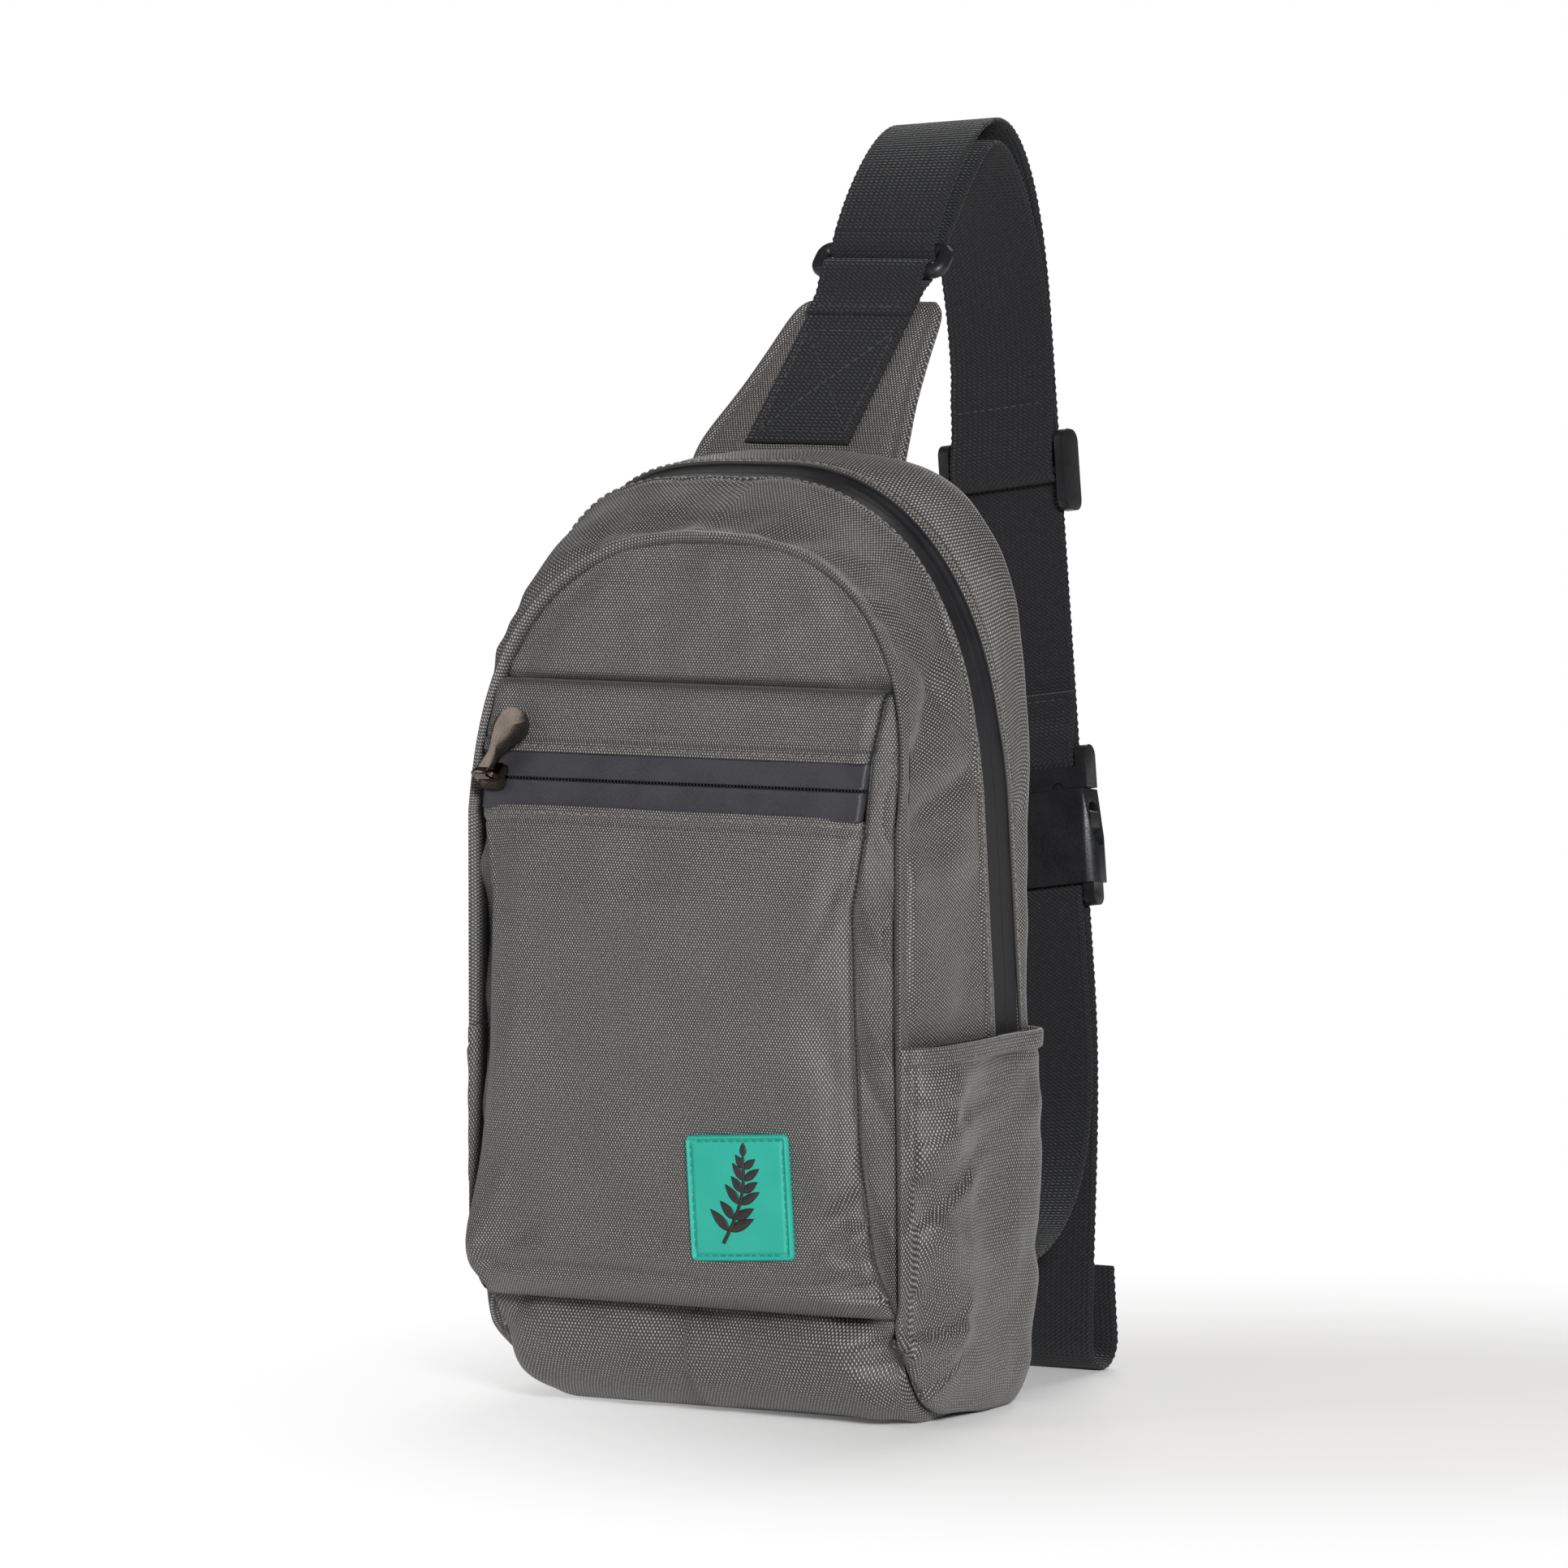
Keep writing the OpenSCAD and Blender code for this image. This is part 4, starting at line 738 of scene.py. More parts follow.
def zip_tape(first, last, inner_end):
    """A main zip tape between two stations, with a lip where it meets the other."""
    i, j = grid(stations([first, last], [10]), outline_steps(HEM - 0.06, LEFT_HEM + 0.06, 2.2, 5.0))
    near = np.abs(i - inner_end)
    lip = 0.15 * bell(near, 0.2) - 0.3 * bell(near, 0.08)
    return push(skin(i, j, -0.5), lip + 0.08 * waves(skin(i, j), 40, 12))


BOOT_TOP = POCKET_LOW + 5
POCKET_STATIONS = stations([0, ROLL, EDGE_END, 7, BACK_START, BACK_STATION], [14, 22, 14, 6, 7])
SEWN_REACH = 6  # margin beside a sewn edge, in which the boot's cloth is drawn to the side pocket
SEAM_TUCK = np.array([-1.1, 1.4, 0.3])  # how far its edge goes in under the side pocket's edge
# Heights here are 1.7 times what was meant
BOOT_FOLDS = [
    ((54, -46, 51.0), (73, -32, 20.4), 3.5, -3.4), ((64, -46, 54.4), (76, -38, 30.6), 3.0, 2.5),
    ((44, -46, 44.2), (66, -34, 13.6), 5, 1.7), ((70, -44, 57.8), (60, -47, 37.4), 3, -2.0),
    ((-52, -45, 47.6), (-70, -34, 17.0), 5, -2.4), ((-40, -46, 51.0), (-62, -40, 23.8), 6, 1.5),
    ((-10, -46, 44.2), (24, -44, 23.8), 9, -1.4), ((-30, -46, 30.6), (6, -42, 13.6), 8, 1.2),
]
# Rows of dents: apex, two corners and depth
BOOT_DENTS = [((52, -47, 22), (76, -46, 30), (76, -42, 17), 3.0), ((50, -46, 33), (60, -46, 40), (74, -46, 38), 2.0)]


def boot():
    """Base and lower front in one piece, up to the side seams and behind the pocket's lower edge."""
    i, j = grid(stations([0, 0.5, EDGE_END, BACK_START, BACK_STATION], [8, 26, 14, 8]),
                outline_steps(-LEFT_SEAM, CORNER_SEAM, 2.0, 2.0, sewn=SEWN_REACH))
    round_edge = skin(i, boot_step(i, j))
    foot = round_edge[0]
    strip = []
    for t in np.linspace(1, 0, 10)[:-1]:
        z = foot[:, 2] + (BOOT_TOP - foot[:, 2]) * t
        right = front_half_w(z[-1]) / foot[-1, 0]
        left = (front_half_w(z[0], LEFT_CORNER_R) - SLUMP * smooth((SLUMP_Z - z[0]) / SLUMP_FADE)) / -foot[0, 0]
        strip.append(np.stack([foot[:, 0] * np.where(foot[:, 0] > 0, right, left), foot[:, 1], z], -1))
    p = np.concatenate([np.array(strip), round_edge])
    rows = np.concatenate([np.zeros((len(strip), i.shape[1])), i])
    seam = np.minimum(*from_sides(p))
    shown = smooth((p[..., 2] - 0.2) / 4)
    soft = smooth(seam / 5) * shown
    by = soft * (0.8 * waves(p, 38, 21) + 0.25 * waves(p, 14, 22)) + shown * folds(p, BOOT_FOLDS)
    stuffed = smooth(seam / 17) * shown * smooth((BOOT_TOP - 3 - p[..., 2]) / 14) * (1 - smooth((rows - 1) / 1.6))
    drawn_in = (1 - smooth(seam / 13)) * shown
    by = by + np.where(p[..., 0] > 0, 4.5, 2.5) * stuffed - np.where(p[..., 0] > 0, 2.0, 0.8) * drawn_in
    by = by + dents(p, BOOT_DENTS) * shown
    p = push(p, by + dive(seam) * smooth((p[..., 2] + 3) / 3))
    p = sewn_to(p, side_pocket(1)[0], i[:, 0], len(strip))
    p[..., 2] = np.maximum(p[..., 2], 0.0)
    return p


def sewn_to(points, edge, i, above):
    """The boot with its right end drawn to the side pocket's sewn edge, so that the seam is closed from all sides."""
    shift = read_at(i, POCKET_STATIONS, edge) + SEAM_TUCK - points[above:, -1]
    lead = np.linspace(0, 1, above + 1)[:-1, None] * shift[0]
    near = 1 - smooth(run_along(points, 1, last=True) / SEWN_REACH)
    return points + np.concatenate([lead, shift])[:, None] * near[..., None]


def side_panel(side):
    """The side wall behind the side pocket."""
    i, j = grid(stations([0.3, BACK_STATION], [30]), outline_steps(CORNER_SEAM + 0.4, HEM, 3.5, 3.0) * side)
    return skin(i, j, -0.6 - 2.5 * bell(i, 0.6))


# Heights here are 1.7 times what was meant
POCKET_FOLDS = [
    ((80, -40, 120.7), (86, 16, 168.3), 7, -3.1), ((80, -43, 125.8), (84, -20, 132.6), 3, -2.5),
    ((80, -36, 142.8), (86, 0, 176.8), 6, 2.0), ((79, -41, 61.2), (84, -10, 49.3), 3.5, 3.1),
    ((79, -38, 47.6), (83, -14, 34.0), 3.5, -2.4), ((84, -8, 52.7), (77, -25, 18.7), 4.5, 4.4),
    ((79, -43, 68.0), (84, -8, 52.7), 4.0, 3.1), ((84, -2, 47.6), (80, -16, 13.6), 4.5, -2.7),
    ((84, -16, 85.0), (85, 4, 57.8), 5, -2.4), ((80, -36, 98.6), (85, -6, 81.6), 5, 2.0),
    ((85, 6, 51.0), (86, 16, 119.0), 6, -2.2), ((82, -34, 183.6), (86, 6, 170.0), 5, -1.5),
    ((84, 2, 27.2), (86, 18, 51.0), 4, 2.0), ((80, -42, 85.0), (83, -24, 105.4), 4, 1.7),
    ((-82, -36, 68.0), (-85, -6, 119.0), 5, -2.7), ((-85, 0, 102.0), (-85, 16, 163.2), 6, 2.0),
    ((-80, -40, 125.8), (-85, 0, 153.0), 5, -2.2), ((-82, -30, 40.8), (-84, 0, 57.8), 4, 2.4),
]
POCKET_DENTS = [
    ((85, -8, 33), (79, -40, 44), (79, -40, 30), 3.4), ((84, -10, 26), (78, -36, 24), (77, -30, 12), 2.6),
    ((86, 12, 96), (80, -40, 80), (80, -40, 66), 3.2), ((86, 10, 104), (80, -40, 104), (80, -40, 92), 2.2),
]
HEM_H, HEM_R, HEM_ROWS = 5.5, 1.1, 6  # the side pockets' hem: its height, the radius of its rim and the rim's rows
HEM_LOW = ZIP_END_Z - HEM_H
BULGE_END = 24  # how far behind the front seam the side pockets stop bulging


def side_pocket(side):
    """A pocket that stands off the side, with a thick folded hem round its mouth."""
    first = CORNER_SEAM if side > 0 else LEFT_SEAM
    jj, ii = grid(outline_steps(first, HEM, 1.9, 3.0, sewn=SEWN_REACH), POCKET_STATIONS)
    step = side_step(ii, jj, first)
    rise = table([0, 0, 0.3, 1, 1], np.clip(jj - 3, 0, 4))
    seam = smooth((jj - first) / 0.4)
    near_front = smooth(ii / 0.6) if side > 0 else smooth(ii / 3)
    off = (SIDE_GAP * table(STAND_OFF, ii) * np.clip(rise, 0, 1.02) + SIDE_CLOTH * seam) * near_front
    p = seam_roll(skin(ii, step * side, off), ii)
    z = p[..., 2]
    hem = smooth((z - HEM_LOW) / 0.8)
    away = smooth((ii - 0.2) / 0.5) * smooth((BACK_STATION - ii) / 0.6) * smooth((jj - first) / 0.25)
    slump = 1.1 * waves(p, 40, 31 + side) + 0.45 * waves(p, 15, 33)
    groove = -0.8 * bell(z - HEM_LOW, 0.9)
    behind = run_along(p, 1)
    slump = slump + 3.2 * (smooth((behind - 4) / 16) - smooth((behind - BULGE_END) / 30)) * smooth((z - 4) / 20)
    creases = folds(p, POCKET_FOLDS) * (1 - 0.65 * smooth((behind - BULGE_END) / 16))
    loose = (slump + creases + dents(p, POCKET_DENTS)) * (1 - 0.6 * hem)
    by = away * loose + (0.9 * hem + groove) * smooth(ii / 0.7)
    p = push(p, by + dive(run_along(p, 0)))
    inward = -grid_normals(p)[-1]
    rows = [p]
    for k in range(1, HEM_ROWS + 1):
        turn = math.pi * k / HEM_ROWS
        rim = p[-1] + inward * HEM_R * (1 - math.cos(turn)) + np.array([0, 0, HEM_R]) * math.sin(turn)
        rows.append(rim[None])
    rows.append((rows[-1][0] - [0, 0, HEM_H])[None])
    p = np.concatenate(rows)
    p[..., 2] = np.maximum(p[..., 2], 0.3)
    return p


FRONT_FOLDS = [
    ((-46, -40, 246), (-10, -40, 262), 6, -1.0), ((16, -40, 244), (48, -40, 258), 6, 1.0),
    ((50, -40, 240), (66, -40, 222), 5, -1.0), ((-60, -40, 240), (-30, -40, 252), 7, 0.8),
]
WALL_LOW = 44  # where the wall behind the pocket starts


def upper_front():
    """The front above the pocket and the wall behind the pocket, set back from the rolled seam, and the painted shade
    in the grooves of its seams.
    """
    rise = np.sin(np.linspace(0, 1, 110) * math.pi / 2) ** 0.9
    z, u = grid(WALL_LOW + (FRONT_H - 0.8 - WALL_LOW) * rise, np.sin(np.linspace(-1, 1, 110) * math.pi / 2))
    w = front_half_w(z) - 1.4 - 2.4 * smooth((POCKET_TOP - 1 - z) / 4)
    edge = np.minimum((1 - np.abs(u)) * w, FRONT_H - 0.6 - z)
    above = smooth((z - POCKET_TOP + 1) / 1.5)
    p = np.stack([u * w, seam_y(z) + 1.5 - above * (1.2 + 2.2 * smooth(edge / 18)), z], -1)
    soft = smooth(edge / 8) * above
    dip = (0.6 + 2.6 * smooth((p[..., 0] - 5) / 60)) * bell(np.maximum(0, z - POCKET_TOP - 1), 5)
    p[..., 1] -= soft * (0.9 * waves(p, 36, 41) + 0.3 * waves(p, 15, 42) + folds(p, FRONT_FOLDS) - dip)
    p[..., 1] -= dive(edge, 3.0, 2.8, 0.5) + above * dive(z - POCKET_TOP + 0.5, 2.6, 3.0, 0.4)
    return p, painted_seam_shade(edge, np.abs(z - POCKET_TOP), wide=1.5)


# Front pocket

RIGHT_EDGE = [(36, 76.5), (46, 75.8), (56, 74), (68, 71.3), (93, 68.3), (130, 66.6), (162, 65.8), (201, 66.8),
              (218, 67.4), (232, 69.4)]  # the face's right edge: height and half width
LEFT_EDGE = [(36, 66), (42, 72), (50, 74), (62, 73), (80, 69), (110, 65.5), (165, 64.1)]
PULL_Z = 62  # below this height the face's lower corners are drawn back to the front wall


def eased(rows, z):
    """A table of heights and values, read with its corners rounded off."""
    at, value = np.array(rows, float).T
    return sum(np.interp(z + d, at, value) for d in np.linspace(-5, 5, 9)) / 9


def face_half_w(z, u):
    """Half the face's width to its right or left edge."""
    left = np.where(z > POCKET_BEND, pocket_half_w(z), eased(LEFT_EDGE, z))
    return np.where(u > 0, eased(RIGHT_EDGE, z), left)


def face_y(z, u):
    """The face's outer side, drawn back to the front wall at its lower corners."""
    y = pocket_y(z) - POCKET_CLOTH
    corner = np.clip((np.abs(u) - 0.78) / 0.22, 0, 1) ** 1.5
    pull = smooth((PULL_Z - z) / (PULL_Z - POCKET_LOW)) * corner * np.where(u > 0, 0.9, 0.2)
    return y + (seam_y(z) - FRONT_WALL - 0.5 - y) * pull


def face_points(z_rows):
    """Points of the face at given heights, with columns closer together near its sewn sides."""
    z, u = grid(z_rows, stations([-1, -0.92, 0.92, 1], [16, 96, 16]))
    w = face_half_w(z, u)
    return np.stack([u * w, face_y(z, u), z], -1), z, u, (1 - np.abs(u)) * w


FACE_FOLDS = [
    ((-66, -60, 47), (52, -60, 46), 2.2, -2.4), ((-66, -60, 53), (50, -60, 52), 3.5, 1.4),
    ((73, -56, 61), (57, -60, 54), 3.4, 2.2), ((75, -54, 51), (57, -60, 47), 3.0, -2.0),
    ((76, -50, 42), (50, -60, 43), 2.4, 1.4), ((69, -60, 73), (56, -60, 63), 3.4, -1.8),
    ((70, -60, 88), (58, -60, 74), 4.5, 1.4), ((-74, -48, 40), (-46, -60, 62), 3.5, -2.4),
    ((-70, -54, 48), (-58, -60, 74), 3.5, 2.0), ((52, -60, 150), (64, -60, 182), 5, -1.6),
    ((-58, -60, 160), (-66, -60, 186), 5, -1.6), ((-62, -60, 100), (-50, -60, 140), 9, 1.4),
    ((62, -60, 96), (54, -60, 136), 7, -1.8), ((-20, -60, 62), (10, -60, 58), 5, -0.9),
]
FACE_DENTS = [
    ((57, -60, 55), (72, -58, 62), (75, -56, 51), 4.2), ((54, -60, 66), (69, -60, 78), (71, -60, 66), 2.4),
    ((56, -60, 44), (76, -52, 49), (77, -50, 42), 3.0), ((46, -60, 130), (66, -60, 160), (66, -60, 100), 1.6),
]
ZIP_LOW, ZIP_HIGH = POCKET_ZIP - POCKET_ZIP_H / 2, POCKET_ZIP + POCKET_ZIP_H / 2
FACE_HEM, ZIP_SLIT = 4.2, 0.25


def lower_pocket():
    """The pocket's face below its zip, and the painted shade in the grooves of its seams."""
    step = ZIP_LOW - FACE_HEM
    curl = POCKET_FULL - POCKET_CURL * np.cos(np.linspace(0, math.pi / 2, 22))
    above = stations([POCKET_FULL, step - 2, ZIP_LOW], [79, 13])
    p, z, u, edge = face_points(np.concatenate([curl, above[1:]]))
    inner = smooth(edge / 10) * smooth((z - POCKET_LOW) / 5)
    around_patch = np.hypot((p[..., 0] - PATCH_AT[0]) / 30, (z - PATCH_AT[1]) / 32)
    flat = smooth((around_patch - 0.62) / 0.5)
    puff = 1.3 * np.sin(math.pi * np.clip((z - 40) / 150, 0, 1)) * (1 - u ** 2)
    by = inner * flat * (0.8 * waves(p, 58, 51) + 0.25 * waves(p, 22, 54)) + puff * flat
    by = by + folds(p, FACE_FOLDS) * smooth(edge / 3) * smooth((z - POCKET_LOW) / 3) * flat
    by = by + 0.6 * smooth((z - step) / 0.9) - 0.7 * bell(z - step, 0.8)
    by = by - 3.0 * (1 - smooth(edge / 13)) * smooth((z - POCKET_FULL) / 20)
    by = by + dents(p, FACE_DENTS) * smooth(edge / 2)
    p = push(p, by + dive(edge) * smooth((z - POCKET_LOW) / 8), np.array([0, 0, 120.0]))
    tuck = np.stack([p[0] + [0, 1.2, 0.8], p[0] + [0, 2.6, 2.6]])[::-1]
    shade = painted_seam_shade(edge, run_along(p, 0))
    return np.concatenate([tuck, p]), np.concatenate([shade[:1], shade[:1], shade])


def top_band():
    """The pocket's face above its zip, and the painted shade in the grooves of its seams."""
    p, z, _, edge = face_points(stations([ZIP_HIGH, ZIP_HIGH + 6, POCKET_TOP], [13, 29]))
    step = ZIP_HIGH + FACE_HEM
    hem = 0.6 * smooth((step - z) / 0.9) - 0.7 * bell(z - step, 0.8)
    soft = smooth((z - step - 1) / 5)
    by = hem + soft * (0.5 * waves(p, 30, 53)) + dive(POCKET_TOP - z, 3.4, 2.6, 0.9)
    p[..., 1] -= by + dive(edge)
    return p, painted_seam_shade(edge, POCKET_TOP - z, wide=1.3)


# Heights here are 1.4 times what was meant
SIDE_RUMPLE = [
    ((66, -56, 86.8), (78, -46, 61.6), 3.5, -2.5), ((64, -56, 140.0), (76, -46, 117.6), 4, -2.2),
    ((64, -56, 120.4), (77, -46, 92.4), 4, 2.2), ((64, -56, 196.0), (77, -44, 168.0), 4.5, 2.1),
    ((64, -56, 173.6), (77, -46, 148.4), 4, -1.8), ((65, -56, 232.4), (77, -44, 210.0), 4, -2.2),
    ((68, -54, 266.0), (77, -44, 243.6), 3.5, 2.0), ((70, -48, 288.4), (76, -44, 268.8), 3, -2.2),
    ((74, -42, 323.4), (71, -47, 288.4), 2.4, -2.8),
]


def pocket_side(side, face, band):
    """The pocket's side cloth, from the face's sewn edge back to the front seam."""
    column = -1 if side > 0 else 0
    line = np.concatenate([face[2:, column], band[:, column]])
    z, t = grid(np.linspace(POCKET_LOW + 0.8, POCKET_TOP - 1, 130), stations([0, 0.15, 0.85, 1], [6, 16, 6]))
    edge_x = np.interp(z, line[:, 2], np.abs(line[:, 0])) - 0.2
    edge_y = np.interp(z, line[:, 2], line[:, 1]) + 0.3
    foot_x = front_half_w(z, FRONT_CORNER_R if side > 0 else LEFT_CORNER_R) - 1.4
    foot_y = seam_y(z) + 2.4
    p = np.stack([edge_x + (foot_x - edge_x) * t, edge_y + (foot_y - edge_y) * t, z], -1)
    wide = np.linalg.norm(p[:, -1] - p[:, 0], axis=-1)[:, None]
    room = smooth(wide / 14)
    round_out = np.sqrt(np.maximum(0, np.sin(math.pi * t)))
    by = room * (0.4 - 2.8 * round_out + smooth(round_out) * (0.9 * waves(p, 24, 61 + side) + folds(p, SIDE_RUMPLE)))
    p[..., 0] += by * 0.66
    p[..., 1] -= by * 0.75
    p[..., 0] *= side
    return p


def zip_band(z_low, z_high, slit_end):
    """A pocket zip tape, rolled a little at the slit."""
    z, u = grid(np.linspace(z_low, z_high, 16), np.linspace(-1, 1, 140))
    w = face_half_w(z, u) - 0.4
    near = np.abs(z - slit_end)
    p = np.stack([u * w, pocket_y(z) - POCKET_CLOTH + 0.45, z], -1)
    p[..., 1] -= 0.5 * bell(near, 1.1) - 0.5 * bell(near, 0.2)
    p[..., 1] -= 0.2 * waves(p, 26, 71) + dive((1 - np.abs(u)) * w, 2.2, 2.2, 0.0)
    return p


def coil_beads():
    """Zip coil seen in the pocket zip's slit, one small bead per turn."""
    beads = Thread()
    half = float(pocket_half_w(POCKET_ZIP)) - 4
    y = float(pocket_y(POCKET_ZIP)) - POCKET_CLOTH - 0.1
    out = np.array([0, -math.cos(POCKET_LEAN), math.sin(POCKET_LEAN)])
    for x in np.arange(-half, half, 1.2):
        at = np.array([[x, y, POCKET_ZIP + dz] for dz in (-0.45, -0.2, 0, 0.2, 0.45)])
        beads.stitch(at, out, 0.7, 0.42, 0.0)
    beads.make("pocket_zip_coil", COIL, slot="zip_tape")


# seam: painted shade per point for the seams' grooves
def cloth(name, points, nodes, thick=1.0, uv=None, seam=None):
    panel(name, points, CLOTH, thick, uv, seam, slot="cloth", replaces=nodes)


def side_weave(points, row, v=None):
    """The side cloths' weave: u runs along one row, and v down each column by itself where it isn't given."""
    return weave(run_along(points, 1)[row], run_along(points, 0) if v is None else v, SIDE_WEAVE)


def beyond_roll(run):
    return np.maximum(run - ROLL_HIDDEN, 0)


def row_at(points, column, z):
    """The row of a grid that is nearest to a height."""
    return int(np.argmin(np.abs(points[:, column, 2] - z)))


def build_body():
    """The cloth panels of the bag and its pocket, with painted shade in their seams' grooves and rows of stitching
    taken from their grids.
    """
    thread = Thread()
    gusset, rear = front_gusset(), rear_gusset()
    cloth("front_gusset_cloth", gusset, ["front_gusset"], 0.5, side_weave(gusset, 20),
          painted_seam_shade(beyond_roll(run_along(gusset, 0)), wide=1.4))
    cloth("rear_gusset_cloth", rear, ["rear_gusset"], 1.6, side_weave(rear, 10))
    stitch_row(thread, gusset, -4)
    stitch_row(thread, rear, 4)
    for word, first, last, inner in (("front", 3.86, 5.35, 5.35), ("rear", 5.65, 7.02, 5.65)):
        panel(f"main_zip_{word}", zip_tape(first, last, inner), TAPE_DARK, 0.9, slot="zip_tape",
              replaces=[f"main_zip_tape_{word}"])
    base = boot()
    cloth("boot_cloth", base, ["base_panel", "lower_front_panel"], 1.4,
          side_weave(base, 20, run_along(base, 0)[:, [base.shape[1] // 2]]), painted_seam_shade(*from_sides(base)))
    face, band, upper = lower_pocket(), top_band(), upper_front()
    for side, word in ((1, "right"), (-1, "left")):
        cloth(f"side_cloth_{word}", side_panel(side), [f"side_panel_{word}"])
        pocket = side_pocket(side)
        down = run_along(pocket, 0, last=True)
        cloth(f"side_pocket_cloth_{word}", pocket, [f"side_pocket_{word}"], 0.6,
              side_weave(pocket, 30, down - down.min()),
              painted_seam_shade(run_along(pocket, 0), beyond_roll(run_along(pocket, 1))))
        stitch_row(thread, pocket, row_at(pocket[:-HEM_ROWS - 2], 30, HEM_LOW + 1.8), 14)
        cheek = pocket_side(side, face[0], band[0])
        cloth(f"pocket_side_cloth_{word}", cheek, [f"pocket_gusset_{word}"], 1.0,
              weave(run_along(cheek, 1, last=True), run_along(cheek, 0)[:, -1:]), painted_seam_shade(*from_sides(cheek)))
    for name, (points, seam), nodes in (("upper_front_cloth", upper, ["upper_front_panel", "pocket_back_panel"]),
                                        ("pocket_face_cloth", face, ["pocket_panel"]),
                                        ("pocket_top_cloth", band, ["pocket_top_band"])):
        v = run_along(points, 0)[:, [points.shape[1] // 2]]
        cloth(name, points, nodes, 1.0, weave(points[..., 0], v), seam)
    for points, z in ((face[0], ZIP_LOW - 2), (band[0], ZIP_HIGH + 2)):
        stitch_row(thread, points, row_at(points, 60, z), 12)
    low, high = POCKET_ZIP - ZIP_SLIT, POCKET_ZIP + ZIP_SLIT
    for word, points in (("lower", zip_band(ZIP_LOW - 1, low, low)), ("upper", zip_band(high, ZIP_HIGH + 1, high))):
        panel(f"pocket_zip_{word}", points, TAPE, 0.8, slot="zip_tape", replaces=[f"front_zip_tape_{word}"])
    coil_beads()
    thread.make("body_stitching", THREAD, slot="cloth")


def stitch_row(thread, points, row, trim=2):
    thread.line(points[row, trim:-trim], grid_normals(points)[row, trim:-trim], *HEM_STITCH)


# Patch with a plain leaf sprig

PATCH_MIDDLE = np.array([PATCH_AT[0], POCKET_FLAT_Y - POCKET_CLOTH - 0.1, PATCH_AT[1]])
PATCH_COS, PATCH_SIN = math.cos(math.radians(PATCH_TURN)), math.sin(math.radians(PATCH_TURN))
PATCH_X, PATCH_UP = np.array([PATCH_COS, 0, PATCH_SIN]), np.array([-PATCH_SIN, 0, PATCH_COS])
PATCH_INSET, SPRIG_LIFT = 2.0, 1.42  # where the stitches run inside its edge, and the sprig above its ground


def patch_place(x, z, lift):
    """A point of the patch's own plane, lifted off the pocket's face."""
    return spot(PATCH_MIDDLE, (PATCH_X, x), (PATCH_UP, z), (-Y_AXIS, lift))


def rounded_plate(w, h, r, count):
    """A grid of offsets over a plate with round corners, and how far inside its outline each one lies."""
    t = np.linspace(-1, 1, count)
    x, z = grid(t * w / 2, t * h / 2)
    cx, cz = np.clip(x, r - w / 2, w / 2 - r), np.clip(z, r - h / 2, h / 2 - r)
    scale = r / np.maximum(np.hypot(x - cx, z - cz), r)
    x, z = cx + (x - cx) * scale, cz + (z - cz) * scale
    return x, z, r - np.hypot(x - cx, z - cz) + np.minimum(w / 2 - r - np.abs(cx), h / 2 - r - np.abs(cz))


def box_sides(half_w, half_h):
    corners = [(-half_w, -half_h), (half_w, -half_h), (half_w, half_h), (-half_w, half_h)]
    return list(zip(corners, corners[1:] + corners[:1]))


def build_patch():
    """The rubber patch with its raised rim, groove and stitching."""
    x, z, d = rounded_plate(PATCH_W, PATCH_H, PATCH_R, 120)
    d = np.maximum(d, 0)
    height = 1.25 * smooth(d / 0.7) + 0.5 * bell(d - 0.9, 0.55) - 0.35 * bell(d - 2.0, 0.45)
    height += 0.22 * smooth((d - 2.6) / 0.5)
    panel("patch_rubber", patch_place(x, z, height), RUBBER, 0.6, slot="patch", replaces=["patch"])
    thread = Thread()
    thread.rows(box_sides(PATCH_W / 2 - PATCH_INSET, PATCH_H / 2 - PATCH_INSET), 60,
                lambda x, z: patch_place(x, z, 1.0), -Y_AXIS, *PATCH_STITCH)
    thread.make("patch_stitching", THREAD_TEAL, slot="patch")
    build_sprig()


def leaf(root, tip, width, rows=14):
    """A leaf's outline as strips across its length, with a little belly."""
    way = tip - root
    side = np.array([-way[1], way[0]]) / np.linalg.norm(way)
    t = np.linspace(0, 1, rows)
    half = width * np.sin(math.pi * t ** 0.8) ** 0.9 + 0.05
    across = np.linspace(-1, 1, 7)
    middle = root + way * t[:, None]
    flat = middle[:, None] + side * half[:, None, None] * across[None, :, None]
    dome = (1 - across[None] ** 2) * np.minimum(half, 1.2)[:, None] * 0.3 + 0.1
    return flat, dome


def build_sprig():
    """A sprig of dark leaves on a bent stem."""
    verts, faces = [], []

    def add(flat, dome):
        first = len(verts)
        verts.extend(patch_place(flat[..., 0], flat[..., 1], SPRIG_LIFT + dome).reshape(-1, 3))
        faces.extend((quads(*flat.shape[:2]) + first)[:, ::-1].tolist())

    t = np.linspace(0, 1, 30)
    stem = np.stack([-6 + 8 * t + 3 * np.sin(t * 3), -14 + 27 * t], -1)
    across = np.linspace(-1, 1, 5)
    add(stem[:, None] + np.array([0.5, -0.1]) * (1 - 0.5 * t)[:, None, None] * across[None, :, None],
        0.22 * (1 - across[None] ** 2) + 0.1 + 0 * t[:, None])
    for k, at in enumerate((0.16, 0.3, 0.46, 0.6, 0.74, 0.88)):
        root = stem[int(at * 29)]
        length = 10.5 - 5.0 * at
        for side in (-1, 1):
            turn = math.radians(90 - side * (58 - 16 * at) - 12)
            tip = root + np.array([math.cos(turn), math.sin(turn)]) * length * (1 if (k + side) % 2 else 0.86)
            add(*leaf(root, tip, 1.7 - 0.5 * at))
    add(*leaf(stem[-1], stem[-1] + np.array([0.3, 4.6]), 1.2))
    piece = add_object("patch_sprig", mesh_from("patch_sprig", verts, faces), RUBBER_DARK, slot="patch")
    thicken(piece, 0.3)


